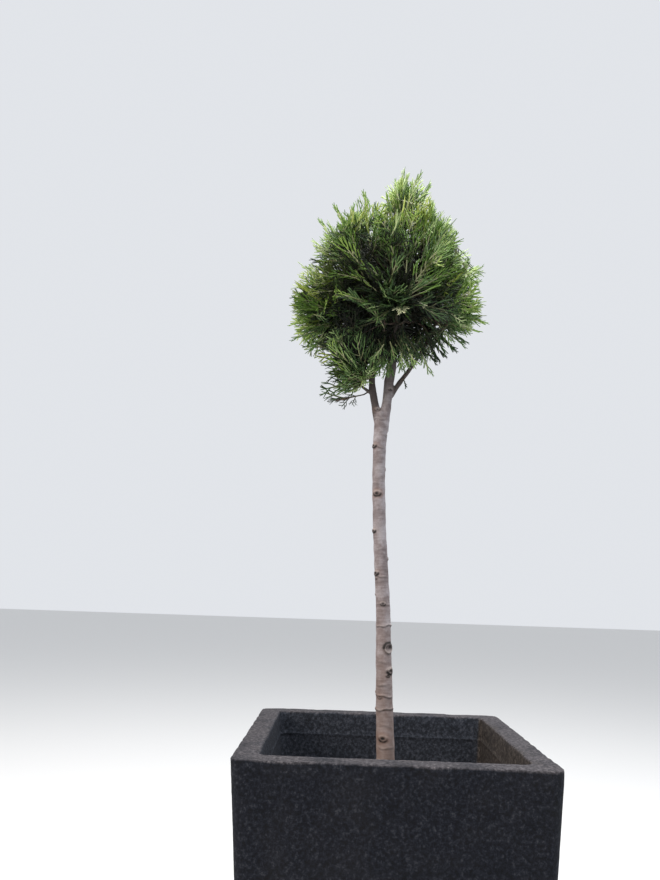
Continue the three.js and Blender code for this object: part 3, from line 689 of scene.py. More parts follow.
# Painted shade: the wood in the crown is darkened, besides the browner young boughs
painted_shade = np.clip((places[:, 2] - SHADED_WOOD) / SHADED_WOOD_BLEND, 0, 1)
young_and_shaded = np.maximum(np.clip((old_wood - young_wood) / YOUNG_WOOD_BLEND, 0, 1), 0.8 * painted_shade)
for name, values in (("scar", scar), ("rust", rust), ("young_wood_and_shade", young_and_shaded), ("painted_highlight", painted_highlight)):
    bark_mesh.attributes.new(name, "FLOAT", "POINT").data.foreach_set("value", values)

# Thin conifer bark: smooth, matt and grey-beige with fine cross lines, warmer near the soil, redder by the
# knots and darker on the younger boughs. Painted shade darkens it in the crown, painted highlights make it
# pale on the raised rings, collars and lips, and it is nearly black in the scars, where painted shade also
# darkens the hollows and the lines and edges below rings and knots.
# Its cross lines are under a millimetre and are drawn 3 mm high so that they show. Its patches are 24 mm
BARK_TONES = ((0.34, "#5b5253"), (0.45, "#73696b"), (0.53, "#878083"), (0.66, "#9e999d"))
BARK_LINE_TONES = ((0.34, "#605655"), (0.5, "#7e7471"), (0.66, "#979092"))
NEAR_SOIL_COLOUR = "#8b715f"
YOUNG_WOOD_COLOUR = "#2e2420"
CROWN_SHADE_COLOUR = "#3b332f"
RUST_COLOUR = "#7c4f33"
HIGHLIGHT_COLOUR = "#b5aaa4"
SCAR_AND_SHADE_COLOUR = "#140d0a"
smooth_bark, tree, shader, place = new_material("smooth_conifer_bark")
cross_lines = add_node(tree, "ShaderNodeMapping", {"Vector": place, "Scale": (50, 50, 330)})
streaks = add_node(
    tree, "ShaderNodeTexNoise", {"Vector": cross_lines.outputs["Vector"], "Scale": 1.0, "Detail": 4.0},
)
patches = add_node(
    tree, "ShaderNodeTexNoise", {"Vector": place, "Scale": 42.0, "Detail": 5.0, "Roughness": 0.65},
)
patch_tone = tone_ramp(tree, patches.outputs["Fac"], BARK_TONES)
streak_tone = tone_ramp(tree, streaks.outputs["Fac"], BARK_LINE_TONES)
wood = mixed(tree, 0.3, patch_tone, streak_tone)
height = add_node(tree, "ShaderNodeSeparateXYZ", {"Vector": place})
near_soil = add_node(
    tree, "ShaderNodeMapRange",
    {"Value": height.outputs["Z"], "From Min": 0.78, "From Max": 0.42, "To Max": 0.5},
)
warm = mixed(tree, near_soil.outputs["Result"], wood, hex_colour(NEAR_SOIL_COLOUR))
young_and_shade_mask = add_node(tree, "ShaderNodeAttribute", attribute_name="young_wood_and_shade")
young_and_shade_share = add_node(tree, "ShaderNodeMath", {0: young_and_shade_mask.outputs["Fac"], 1: 0.85}, operation="MULTIPLY")
browner_tone = mixed(tree, young_and_shade_share.outputs["Value"], warm, hex_colour(YOUNG_WOOD_COLOUR))
# Painted shade: the wood is darkened towards the crown
crown_shade = add_node(
    tree, "ShaderNodeMapRange",
    {"Value": height.outputs["Z"], "From Min": 1.08, "From Max": 1.17, "To Max": 0.62},
)
darkened = mixed(tree, crown_shade.outputs["Result"], browner_tone, hex_colour(CROWN_SHADE_COLOUR))
rusty_bark = add_node(tree, "ShaderNodeAttribute", attribute_name="rust")
rust_share = add_node(tree, "ShaderNodeMath", {0: rusty_bark.outputs["Fac"], 1: 0.42}, operation="MULTIPLY")
rusted = mixed(tree, rust_share.outputs["Value"], darkened, hex_colour(RUST_COLOUR))
# Painted highlight on the raised parts
painted_highlights = add_node(tree, "ShaderNodeAttribute", attribute_name="painted_highlight")
highlight_share = add_node(tree, "ShaderNodeMath", {0: painted_highlights.outputs["Fac"], 1: 0.6}, operation="MULTIPLY")
highlighted = mixed(tree, highlight_share.outputs["Value"], rusted, hex_colour(HIGHLIGHT_COLOUR))
# The scars' own dark, with painted shade in the hollows and below the rings and knots
scars_and_shade = add_node(tree, "ShaderNodeAttribute", attribute_name="scar")
scarred_and_shaded = mixed(tree, scars_and_shade.outputs["Fac"], highlighted, hex_colour(SCAR_AND_SHADE_COLOUR))
grain = add_node(
    tree, "ShaderNodeBump", {"Height": streaks.outputs["Fac"], "Strength": 0.35, "Distance": 0.001},
)
tree.links.new(scarred_and_shaded, shader.inputs["Base Color"])
tree.links.new(grain.outputs["Normal"], shader.inputs["Normal"])
shader.inputs["Roughness"].default_value = 0.75
bark = new_piece("bark", bark_mesh, smooth_bark)
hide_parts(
    "trunk", "bough_left", "bough_leader", "bough_side", "bough_low_left", "bough_front",
    "bough_back", "bough_upper_left", "bough_upper_right", "bough_upper_back",
)
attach(bark, "root")


# The crown: nine masses of flat, fern-like sprays on fine twigs. Each mass grows from its own bough and
# keeps to its own space and to the crown's reach, and the low left one is loose, with bare ends.

# The crown's reach is a round body, given by heights with the middle's x and the radius there, and lobes
# that swell beyond it, each a middle and three half widths. Its underside rises towards the back
CROWN_PROFILE = (
    (1234, 4, 40), (1242, 2, 92), (1254, 0, 130), (1272, -8, 160), (1300, -14, 182),
    (1335, -15, 190), (1380, -15, 174), (1430, -18, 157), (1482, -3, 121), (1520, 24, 79),
    (1555, 27, 50), (1580, 29, 43), (1594, 30, 36), (1604, 30, 22),
)
CROWN_LOBES = (
    ((-84, -18, 1196), (64, 76, 66)), ((-130, 0, 1268), (62, 64, 52)), ((-84, -22, 1434), (66, 66, 44)),
    ((76, -6, 1252), (46, 52, 44)), ((112, 0, 1370), (62, 70, 70)),
)
UNDERSIDE_RISE = 0.17
CROWN_MIDDLE = np.array((0, 0, 1310))
LOOSE_MASS = "crown_low_left"
LOOSE_MIDDLE = np.array((-52, -10, 1158))
# Each mass's heart, its bough, its seed, its number of clusters, and by how many tones its leaves are painted
# lighter, as painted light
MASSES = {
    "crown_top": ((14, 0, 1500), LEADER_LINE, 11, 76, 2.1),
    "crown_upper_left": ((-74, -30, 1412), UPPER_LEFT_LINE, 23, 98, 1.0),
    "crown_upper_right": ((68, -34, 1410), UPPER_RIGHT_LINE, 37, 98, 1.7),
    "crown_upper_back": ((-5, 72, 1424), UPPER_BACK_LINE, 41, 84, 1.0),
    "crown_left": ((-104, 2, 1306), LEFT_LINE, 59, 96, 1.2),
    "crown_right": ((92, 0, 1306), SIDE_LINE, 61, 96, 1.5),
    "crown_front": ((-4, -84, 1290), FRONT_LINE, 73, 90, 0.4),
    "crown_back": ((-6, 94, 1302), BACK_LINE, 89, 84, 0.9),
    "crown_low_left": ((-86, -18, 1180), LOW_LEFT_LINE, 97, 48, 0.9),
}
# Single sprays given one by one, each with its root, its tip and its tone from 0, the darkest. Most show as
# loose ends at the crown's edge, some lie on its front, dark ones inside, painted in the darkest tones as
# painted shade, fill gaps that the sky would show through, and tones 5 and 6 are dead cream tips
STRAYS = {
    "crown_low_left": (
        ((-58, -7, 1131), (-128, -12, 1116), 1), ((-84, -8, 1124), (-100, -12, 1104), 1),
        ((-72, -8, 1127), (-78, -10, 1108), 1), ((-92, -10, 1122), (-140, -14, 1130), 2),
        ((-60, -12, 1148), (-142, -20, 1148), 2), ((-52, -10, 1150), (-100, -40, 1128), 2),
        ((-44, -6, 1178), (-96, -60, 1158), 3), ((-42, -8, 1200), (-60, -70, 1170), 3),
    ),
    "crown_front": (
        ((-14, -14, 1216), (-27, -26, 1163), 4), ((0, -14, 1222), (-12, -28, 1166), 4),
        ((10, -14, 1224), (16, -26, 1172), 3), ((-30, -12, 1222), (-44, -26, 1168), 3),
        ((-10, -16, 1262), (-14, -40, 1204), 0), ((-2, -16, 1264), (0, -42, 1210), 1),
        ((8, -16, 1258), (4, -44, 1198), 0), ((12, -14, 1250), (10, -36, 1192), 1),
        ((20, -14, 1230), (40, -30, 1188), 3), ((32, -16, 1236), (58, -24, 1200), 3),
        ((2, -112, 1340), (-14, -134, 1411), 3), ((16, -112, 1344), (22, -136, 1420), 3),
        ((15, -114, 1299), (81, -134, 1402), 3), ((16, -114, 1300), (106, -130, 1367), 3),
        ((18, -116, 1296), (92, -136, 1336), 3), ((20, -116, 1292), (78, -140, 1304), 3),
        ((28, -114, 1288), (84, -132, 1240), 2), ((-10, -114, 1310), (-62, -142, 1356), 3),
        ((-38, -118, 1302), (-82, -128, 1334), 4), ((-60, -110, 1286), (-112, -118, 1296), 4),
        ((-14, -114, 1290), (-70, -140, 1276), 2), ((-4, -110, 1280), (-34, -142, 1236), 2),
        ((-60, -108, 1326), (-128, -112, 1352), 3), ((8, -112, 1286), (-6, -146, 1253), 6),
        ((8, -114, 1284), (4, -148, 1248), 6), ((6, -114, 1282), (15, -144, 1256), 5),
        ((36, -128, 1282), (50, -136, 1266), 5), ((14, -118, 1306), (8, -140, 1290), 4),
    ),
    "crown_upper_right": (
        ((24, -104, 1352), (30, -124, 1424), 3), ((14, -106, 1356), (-10, -124, 1416), 2),
        ((44, -100, 1372), (76, -112, 1440), 3), ((56, -96, 1370), (104, -100, 1412), 3),
    ),
    "crown_upper_back": (
        ((-30, 6, 1446), (-34, 2, 1546), 2), ((-14, 16, 1450), (-22, 18, 1552), 2),
        ((46, 40, 1376), (58, 50, 1470), 1), ((26, 50, 1390), (80, 56, 1456), 1),
        ((66, 34, 1384), (28, 44, 1462), 0), ((54, 46, 1366), (40, 52, 1456), 0),
    ),
    "crown_back": (
        ((-40, 52, 1286), (60, 60, 1352), 0), ((-30, 58, 1300), (70, 52, 1300), 0),
        ((60, 56, 1282), (-30, 60, 1340), 0), ((70, 50, 1320), (-10, 56, 1262), 0),
        ((-50, 56, 1262), (50, 62, 1262), 0), ((0, 60, 1250), (40, 62, 1340), 0),
        ((40, 54, 1250), (0, 58, 1350), 0), ((20, 62, 1252), (90, 58, 1310), 0),
        ((-26, 30, 1272), (74, 34, 1290), 0), ((76, 36, 1270), (-24, 40, 1300), 0),
        ((4, 24, 1258), (54, 30, 1336), 0), ((72, 22, 1286), (36, 26, 1356), 0),
        ((84, 40, 1300), (24, 50, 1366), 0), ((-10, 44, 1286), (80, 44, 1336), 0),
    ),
    "crown_top": (
        ((14, -6, 1526), (18, -8, 1602), 4), ((38, -2, 1526), (44, -6, 1600), 4),
        ((6, 2, 1524), (4, 0, 1602), 4), ((54, 4, 1520), (64, 2, 1602), 4),
        ((-8, 4, 1506), (-14, 2, 1581), 4), ((46, 8, 1516), (56, 10, 1584), 3),
        ((30, 10, 1530), (33, 14, 1592), 3), ((-16, -4, 1466), (-21, -6, 1551), 3),
        ((-30, -4, 1458), (-36, -6, 1541), 3), ((-4, -20, 1462), (-8, -26, 1542), 3),
    ),
    "crown_upper_left": (
        ((-50, -22, 1488), (-58, -24, 1566), 4), ((-56, -18, 1480), (-70, -16, 1550), 3),
        ((-98, -20, 1466), (-120, -22, 1532), 4), ((-122, -10, 1448), (-153, -12, 1508), 4),
        ((-40, -60, 1420), (-46, -74, 1494), 3), ((-60, -98, 1330), (-92, -114, 1408), 3),
        ((-96, -16, 1456), (-106, -18, 1520), 3), ((-84, -26, 1470), (-90, -30, 1530), 3),
    ),
    "crown_left": (
        ((-150, 0, 1290), (-208, -4, 1280), 4), ((-146, -6, 1268), (-202, -10, 1240), 3),
        ((-118, -10, 1262), (-166, -20, 1224), 3), ((-96, -20, 1320), (-40, -90, 1300), 2),
    ),
    "crown_right": (
        ((128, -6, 1306), (187, -10, 1289), 4), ((120, -8, 1284), (172, -14, 1264), 4),
        ((98, -10, 1272), (146, -14, 1240), 3), ((60, 20, 1310), (120, 20, 1300), 1),
        ((58, -6, 1236), (88, -10, 1200), 1), ((74, 0, 1256), (104, -4, 1216), 1),
        ((90, 4, 1262), (128, -8, 1230), 1), ((22, -5, 1168), (29, -8, 1148), 1),
        ((108, -10, 1346), (160, -14, 1412), 4), ((116, 0, 1350), (174, -2, 1392), 4),
        ((104, 20, 1356), (162, 30, 1420), 3), ((60, -40, 1316), (112, -60, 1346), 2),
        ((52, -20, 1340), (104, -20, 1320), 1), ((64, 30, 1330), (112, 50, 1344), 1),
        ((52, -14, 1262), (62, -26, 1208), 1), ((64, -10, 1264), (84, -22, 1206), 1),
        ((80, -8, 1268), (104, -20, 1214), 2), ((92, 0, 1272), (124, -10, 1224), 2),
        ((70, 10, 1262), (92, 16, 1212), 1), ((46, -24, 1258), (44, -44, 1206), 0),
        ((100, -14, 1280), (142, -22, 1238), 2), ((60, -34, 1266), (76, -60, 1218), 1),
    ),
}
# Painted light and shade: where the leaves are painted lighter or darker than round about, seen from the
# front: x, z, how far that reaches, and by how many tones
PAINTED_LIGHT_PATCHES = (
    (-77, 1372, 38, 1.3), (-42, 1370, 30, 1.1), (-8, 1367, 26, 0.7), (-76, 1450, 30, -1.0),
    (-40, 1457, 26, -0.4), (-111, 1472, 30, -0.6), (30, 1343, 22, 0.6), (71, 1345, 24, -0.5),
    (-44, 1298, 24, 0.8), (-4, 1312, 22, -0.5), (23, 1290, 24, -0.7), (60, 1300, 26, -0.7),
    (98, 1280, 30, -0.5), (-11, 1245, 28, -1.2), (-40, 1270, 24, -0.4), (105, 1370, 28, 0.6),
    (66, 1485, 26, -0.7), (-111, 1265, 30, -0.4), (-40, 1420, 22, 0.3), (-100, 1395, 24, 0.4),
    (58, 1385, 24, -0.9), (23, 1300, 24, -0.6), (23, 1333, 18, -0.4), (-77, 1437, 24, -0.5),
    (-44, 1402, 20, -0.4), (-111, 1471, 26, -0.4), (56, 1490, 26, -0.4), (90, 1290, 26, -0.4),
    (-60, 1195, 26, 0.4), (-60, 1402, 26, -0.4), (56, 1333, 22, -0.5), (23, 1298, 24, -0.5),
    (-11, 1229, 24, -0.5), (56, 1225, 22, 0.5), (-190, 1330, 52, -1.1), (-111, 1229, 26, -0.5),
)
# Shares of the clusters that are rooted near the crown's reach and further in, and how far below it. The
# rest fill the mass round its heart, and the loose mass is rooted all along its bough
OUTER_SHARE = 0.46
OUTER_DEPTHS = (85, 145)
INNER_SHARE = 0.22
INNER_DEPTHS = (125, 200)
LOOSE_DEPTHS = (4, 62)
LEAST_DEPTH = 5
FILL_SCATTER = 24
# A cluster is one spray with a shorter one leaning out on each side, less so in the tuft at the top. Each
# row holds the way it leans, its share of the longest spray and where along the first it starts
CLUSTER = ((0, 1, 0), (1, 0.82, 0.05), (-1, 0.82, 0.16))
SIDE_SPRAY_LEAN = 30.0
TOP_SPRAY_LEAN = 14.0
LONGEST_SPRAY = 150.0
SHORTEST_SPRAY = 34.0
# How far a spray may grow into the next mass's space, and how far it keeps from the wood
CELL_SPARE = 22.0
LIMB_CLEARANCE = 4
# How many places are tried for each cluster that is kept, and in what steps the crown's reach is found.
# Multiples of the two fractions fill a square evenly
CANDIDATES = 9
REACH_STEP = 4.0
EVEN_FRACTIONS = (0.7548776662, 0.569840291)
# Sprays that hang under the front of the crown: the least and the most of their roots' places and of how far
# their tips lie from their roots, and the height below which they are painted light, out of the crown's
# shade; above it they are painted dark as painted shade
HANGING_SPRAYS = 40
HANGING_ROOTS = ((-44, -50, 1214), (62, -12, 1272))
HANGING_DROPS = ((-26, -24, -58), (28, -4, -32))
HANGING_LIGHT_BELOW = 1186


def within_crown(points):
    """Which of the points lie within the crown's reach."""
    profile = np.array(CROWN_PROFILE, float)
    centre = np.interp(points[..., 2], profile[:, 0], profile[:, 1])
    width = np.interp(points[..., 2], profile[:, 0], profile[:, 2], left=-1, right=-1)
    inside = np.hypot(points[..., 0] - centre, points[..., 1]) < width
    inside &= points[..., 2] > CROWN_PROFILE[0][0] + UNDERSIDE_RISE * points[..., 1]
    for middle, half in CROWN_LOBES:
        inside |= (((points - middle) / half) ** 2).sum(axis=-1) < 1
    return inside


def reach_from(points, directions, furthest=400.0):
    """How far the crown reaches from each point in its direction."""
    steps = np.arange(0, furthest, REACH_STEP)
    walk = points[:, None, :] + directions[:, None, :] * steps[None, :, None]
    inside = within_crown(walk)
    return np.where(inside.all(axis=1), furthest, steps[np.argmin(inside, axis=1)])


def even_directions(count):
    """Directions spread evenly over a sphere."""
    i = np.arange(count)
    height = 1 - 2 * ((0.5 + i * EVEN_FRACTIONS[0]) % 1)
    bearing = math.tau * ((0.5 + i * EVEN_FRACTIONS[1]) % 1)
    width = np.sqrt(1 - height * height)
    return np.stack((width * np.cos(bearing), width * np.sin(bearing), height), axis=1)


def unit(vectors):
    """The vectors, each with length one."""
    return vectors / np.linalg.norm(vectors, axis=-1, keepdims=True)


def smoothstep(values, low, high):
    """Zero below the low value, one above the high one, and smooth between them."""
    share = np.clip((values - low) / (high - low), 0, 1)
    return share * share * (3 - 2 * share)


def cell_planes(name):
    """The planes halfway between a mass's heart and every other heart."""
    heart = np.array(MASSES[name][0], float)
    others = np.array([mass[0] for other, mass in MASSES.items() if other != name], float)
    normals = unit(others - heart)
    return normals, (normals * (heart + others) / 2).sum(axis=1)


def hanging_sprays(chance):
    """Sprays under the front of the crown that hang over the two stems, painted dark with painted shade above
    and painted light below.
    """
    roots = chance.uniform(*HANGING_ROOTS, (HANGING_SPRAYS, 3))
    tips = roots + chance.uniform(*HANGING_DROPS, (HANGING_SPRAYS, 3))
    light = chance.integers(3, 5, (HANGING_SPRAYS, 1))
    dark = chance.integers(0, 3, (HANGING_SPRAYS, 1))
    return np.hstack((roots, tips, np.where(tips[:, 2:] < HANGING_LIGHT_BELOW, light, dark)))


def growth_directions(roots, directions, middle, chance):
    """Sprays point away from the crown's middle, and the higher they grow the more they stand up."""
    growth = unit(roots - middle) * 0.9 + directions * 0.3
    growth[:, 2] += 0.25 * smoothstep(roots[:, 2], 1310, 1370) + 3.0 * smoothstep(roots[:, 2], 1400, 1500)
    return unit(growth + chance.uniform(-0.18, 0.18, growth.shape))


def keep_to_cell(normals, limits, roots, growth):
    """Near a neighbour a spray turns along the plane between them instead of growing across it."""
    for normal, limit in zip(normals, limits):
        room = limit - roots @ normal + CELL_SPARE
        crossing = growth @ normal
        turned = (crossing > 0) & (room < crossing * LONGEST_SPRAY * 0.6)
        change = -crossing + np.clip(room, -20, None) / LONGEST_SPRAY * 1.4
        growth = np.where(turned[:, None], unit(growth + normal * change[:, None]), growth)
    return growth


def mass_clusters(name, directions, chance):
    """Where a mass's clusters of sprays are rooted, and which way they grow."""
    heart = np.array(MASSES[name][0], float)
    count = len(directions)
    loose = name == LOOSE_MASS
    middle = LOOSE_MIDDLE if loose else CROWN_MIDDLE
    source = LOOSE_MIDDLE if loose else heart
    reach = reach_from(np.tile(source, (count, 1)), directions)
    layer = chance.random(count)
    outer = reach - chance.uniform(*OUTER_DEPTHS, count)
    inner = reach - chance.uniform(*INNER_DEPTHS, count)
    depth = np.where(layer < OUTER_SHARE, outer, inner)
    if loose:
        depth = np.minimum(depth, chance.uniform(*LOOSE_DEPTHS, count))
    roots = source + directions * np.maximum(depth, LEAST_DEPTH)[:, None]
    filling = ((layer > OUTER_SHARE + INNER_SHARE) & (not loose))[:, None]
    share = chance.uniform(-0.3, 1, (count, 1))
    fill = source + (middle - source) * share + chance.normal(0, FILL_SCATTER, (count, 3))
    roots = np.where(filling, fill, roots)
    growth = growth_directions(roots, directions, middle, chance)
    growth = np.where(filling, unit(chance.normal(size=growth.shape)), growth)
    return roots, growth


def clear_of_limbs(origin, pointing, length):
    """Which sprays keep clear of every limb, at their root and further along."""
    clear = np.ones(len(origin), bool)
    for line in LIMBS:
        for part in (0.0, 0.35, 0.7):
            clear &= limb_distance(origin + pointing * (length * part)[:, None], line) > LIMB_CLEARANCE
    return clear


def mass_sprays(name):
    """Where a mass's sprays are rooted, where they point, which way they face and how long they are."""
    _, _, seed, clusters, _ = MASSES[name]
    chance = np.random.default_rng(seed)
    directions = even_directions(clusters * CANDIDATES)
    count = len(directions)
    roots, growth = mass_clusters(name, directions, chance)
    normals, limits = cell_planes(name)
    growth = keep_to_cell(normals, limits, roots, growth)
    facing = unit(np.cross(growth, chance.normal(size=growth.shape)))
    spread = SIDE_SPRAY_LEAN + (TOP_SPRAY_LEAN - SIDE_SPRAY_LEAN) * smoothstep(roots[:, 2], 1440, 1540)
    groups = []
    for lean, share, start in CLUSTER:
        angle = np.radians(lean * (spread + chance.uniform(-9, 9, count)))[:, None]
        pointing = growth * np.cos(angle) + np.cross(facing, growth) * np.sin(angle)
        pointing = unit(pointing + facing * chance.uniform(-0.2, 0.2, angle.shape))
        origin = roots + growth * LONGEST_SPRAY * start
        roomy = reach_from(origin, pointing, LONGEST_SPRAY) * (0.66 + 0.48 * chance.random(count) ** 1.8)
        length = np.minimum(roomy, LONGEST_SPRAY * share * chance.uniform(0.75, 1.0, count))
        face = unit(facing + chance.uniform(-0.35, 0.35, facing.shape))
        face = unit(face - pointing * (face * pointing).sum(axis=1, keepdims=True))
        tips = origin + pointing * length[:, None]
        fits = (length > SHORTEST_SPRAY) & (origin @ normals.T < limits + CELL_SPARE).all(axis=1)
        fits &= (tips @ normals.T < limits + CELL_SPARE * 2).all(axis=1)
        # Some that touch the reach are left out, and some high in the tuft, so that the outline is ragged
        spare = reach_from(tips, pointing, 40)
        fits &= chance.random(count) > 0.4 * (spare < 14) + 0.25 * smoothstep(tips[:, 2], 1530, 1580)
        fits &= clear_of_limbs(origin, pointing, length)
        groups.append((origin, pointing, face, length, fits))
    kept = np.flatnonzero(groups[0][4])[:clusters]
    *traits, fits = (np.concatenate([group[k][kept] for group in groups]) for k in range(5))
    return [values[fits] for values in traits]


# A spray is flat like a fern or a comb: an axis, with long shoots that leave it left and right by turns and
# curve forward, forked near their ends, and all of them taper to blunt tips
SHOOT_RADIUS = 1.55
SHOOT_FLATNESS = 0.62
TIP_TAPER = 0.45
# The kinds of spray are four lengths in five forms. A form says how far apart the side shoots leave, how
# many degrees they lean out, and how long they grow as a share of the axis. The first two stand up
# narrowly, as in the tuft, and the last is open
SPRAY_LENGTHS = (52, 76, 104, 138)
SPRAY_FORMS = ((7.0, 17, 0.42), (7.0, 23, 0.5), (7.0, 34, 0.62), (7.6, 41, 0.72), (8.2, 45, 0.8))
NARROW_FORMS = 2
OPEN_FORM = 4
STRAY_FORMS = {"crown_low_left": 4, "crown_front": 2, "crown_upper_right": 2, "crown_top": 0, "crown_back": 3}
USUAL_STRAY_FORM = 1
# The ages of a spray's shoots, and by how many tones each is lighter than the spray. Some of the side shoots
# are painted a tone darker, as painted shade, as if their neighbours shaded them
AXIS, SHADE_DIMMED, GROWN, YOUNG = 0, 1, 2, 3
LIFTS = np.array((1, -1, 0, 1))
SHADE_DIMMED_SHARE = 0.38


def tube_piece(sides, pointed):
    """A unit piece of a shoot or twig: an open tube, or one that its far end closes to a point."""
    shape = bmesh.new()
    bmesh.ops.create_cone(shape, cap_ends=pointed, segments=sides, radius1=1, radius2=1, depth=1)
    if pointed:
        near, far = sorted(
            (face for face in shape.faces if abs(face.calc_center_median().z) > 0.4),
            key=lambda face: face.calc_center_median().z,
        )
        bmesh.ops.poke(shape, faces=[far])
        bmesh.ops.delete(shape, geom=[near], context="FACES_ONLY")
    bmesh.ops.triangulate(shape, faces=shape.faces)
    shape.verts.index_update()
    points = np.array([vert.co for vert in shape.verts])
    triangles = np.array([[vert.index for vert in face.verts] for face in shape.faces])
    shape.free()
    return points, triangles


def lay_tubes(piece, low, high, radii, aside, flatness):
    """A unit piece laid from every low point to its high point, as arrays of points and triangles."""
    unit_points, unit_triangles = piece
    along = unit(high - low)
    across = unit(np.cross(along, aside))
    above = np.cross(across, along) * flatness
    share = unit_points[None, :, 2] + 0.5
    wide = (radii[:, :1] * (1 - share) + radii[:, 1:] * share)[..., None]
    point = (np.hypot(unit_points[:, 0], unit_points[:, 1]) < 0.1)[None, :, None]
    middle = low[:, None] + (high - low)[:, None] * share[..., None]
    ring = across[:, None] * unit_points[None, :, :1] + above[:, None] * unit_points[None, :, 1:2]
    points = middle + along[:, None] * wide * point + ring * wide
    triangles = unit_triangles[None] + np.arange(len(low))[:, None, None] * len(unit_points)
    return points.reshape(-1, 3), triangles.reshape(-1, 3)


def grow_shoot(pieces, start, lean, length, order, chance, form, shade_dimmed=0):
    """A shoot that curves forward, and its side shoots, in the spray's plane. The axis is order 0."""
    spacing, spread, side_share = form
    bend = chance.uniform(-0.3, 0.3) if order == 0 else -math.copysign(chance.uniform(0.25, 0.6), lean)
    parts = (4, 3 if length > 26 else 2, 1)[order]
    lift = chance.uniform(-0.12, 0.16) * (order > 0)
    points = [start]
    for i in range(parts):
        turned = lean + bend * (i + 0.5) / parts
        points.append(points[-1] + np.array((math.sin(turned), math.cos(turned), lift)) * (length / parts))
    thick = SHOOT_RADIUS * (1.0, 0.9, 0.84)[order]
    leafy = GROWN if shade_dimmed else YOUNG
    forked = SHADE_DIMMED if shade_dimmed else GROWN
    for i in range(parts):
        last = i == parts - 1
        woody = not last and (order == 0 or (i == 0 and length > 30 and not shade_dimmed))
        age = forked if order == 2 else AXIS if woody else leafy
        pieces[last].append((*points[i], *points[i + 1], thick, thick * (TIP_TAPER if last else 1), age))
    if order == 2:
        return
    side = chance.choice((-1, 1))
    gone = length * (0.2 if order == 0 else chance.uniform(0.4, 0.56))
    while gone < length - 6:
        place = gone / length * parts
        low = min(int(place), parts - 1)
        spot = points[low] + (points[low + 1] - points[low]) * (place - low)
        left = length - gone
        longest = min(left * 0.85 + 8, length * side_share * 0.6) if order == 0 else min(left + 3, 18)
        angle = side * math.radians(spread * (1 if order == 0 else 0.75) + chance.uniform(-6, 6))
        grown = longest * chance.uniform(0.7, 1.05)
        # Some side shoots are dimmed with painted shade, and their forks with them
        painted_shade = shade_dimmed if order else int(chance.random() < SHADE_DIMMED_SHARE)
        grow_shoot(pieces, spot, lean + bend * place / parts + angle, grown, order + 1, chance, form, painted_shade)
        side = -side
        gone += spacing * chance.uniform(0.8, 1.2) * (1 if order == 0 else 1.5)


# A shoot is laid in three-sided parts, and its last part is closed by a point
SHOOT_PIECES = {False: tube_piece(3, False), True: tube_piece(3, True)}


def spray_kind(length, form, seed):
    """One spray as arrays: its points, its triangles and the age of each triangle."""
    pieces = {False: [], True: []}
    grow_shoot(pieces, np.zeros(3), 0.0, length, 0, np.random.default_rng(seed), form)
    points, triangles, ages, used = [], [], [], 0
    for last in pieces:
        laid = np.array(pieces[last])
        laid_points, laid_triangles = lay_tubes(
            SHOOT_PIECES[last], laid[:, :3], laid[:, 3:6], laid[:, 6:8], (0, 0, 1), SHOOT_FLATNESS,
        )
        points.append(laid_points)
        triangles.append(laid_triangles + used)
        ages.append(np.repeat(laid[:, 8].astype(int), len(SHOOT_PIECES[last][1])))
        used += len(laid_points)
    return np.concatenate(points), np.concatenate(triangles), np.concatenate(ages)


def joined_mesh(name, points, triangles, materials):
    """A mesh from arrays of points, triangles and the number of each triangle's material."""
    mesh = bpy.data.meshes.new(name)
    mesh.from_pydata(points, [], triangles)
    mesh.polygons.foreach_set("material_index", materials)
    return mesh


# Conifer foliage: scale leaves pressed flat on the shoots, waxy with a soft sheen. Sprays are yellow-green,
# plain green or bluish, from nearly black with painted shade inside the crown to pale at the tips, and their
# axes are grey-green. Their tones are lit and shaded copies of each green, which stand for the light on the
# crown besides the leaves' age
LEAF_TONES = {
    "yellow_green": ("#0d1105", "#1c240c", "#344113", "#51621f", "#738431", "#94a649", "#bac975"),
    "green": ("#0a0f06", "#17220d", "#2b4016", "#446222", "#648437", "#89a551", "#b4c87c"),
    "blue_green": ("#0a100a", "#152114", "#293d21", "#415c34", "#607c47", "#859f65", "#b0c38a"),
    "axis": ("#100f0b", "#23231a", "#41442f", "#63684b", "#878c68", "#a9ae86", "#c6caa4"),
}
# Each family has this many tones. The first three families are the leaves' and the last is the axes'
LEVELS = 7
LAST_GREEN = 2
AXIS_FAMILY = 3
# Single sprays are of the last green below this height, and of the one before it above
STRAYS_BLUER_BELOW = 1250
# Seen from the front the crown is painted darkest, with painted shade, about this x and z
PAINTED_SHADE_HEART = (-20, 1300)
LEAF_ROUGHNESS = 0.55
LEAF_SPECULAR = 0.3
leaf_materials = []
for family, tones in LEAF_TONES.items():
    for i, tone in enumerate(tones):
        leaf, _, shader, _ = new_material(f"conifer_{family}_{i}")
        shader.inputs["Base Color"].default_value = hex_colour(tone)
        shader.inputs["Roughness"].default_value = LEAF_ROUGHNESS
        shader.inputs["Specular IOR Level"].default_value = LEAF_SPECULAR
        leaf_materials.append(leaf)


def seen_from_front(tips):
    """Where the camera sees the tips, as x and z in the upright plane through the stem."""
    camera_x, camera_y, camera_z = np.array(CAMERA_PLACE) * 1000
    nearer = camera_y / (camera_y - tips[:, 1])
    return camera_x + (tips[:, 0] - camera_x) * nearer, camera_z + (tips[:, 2] - camera_z) * nearer


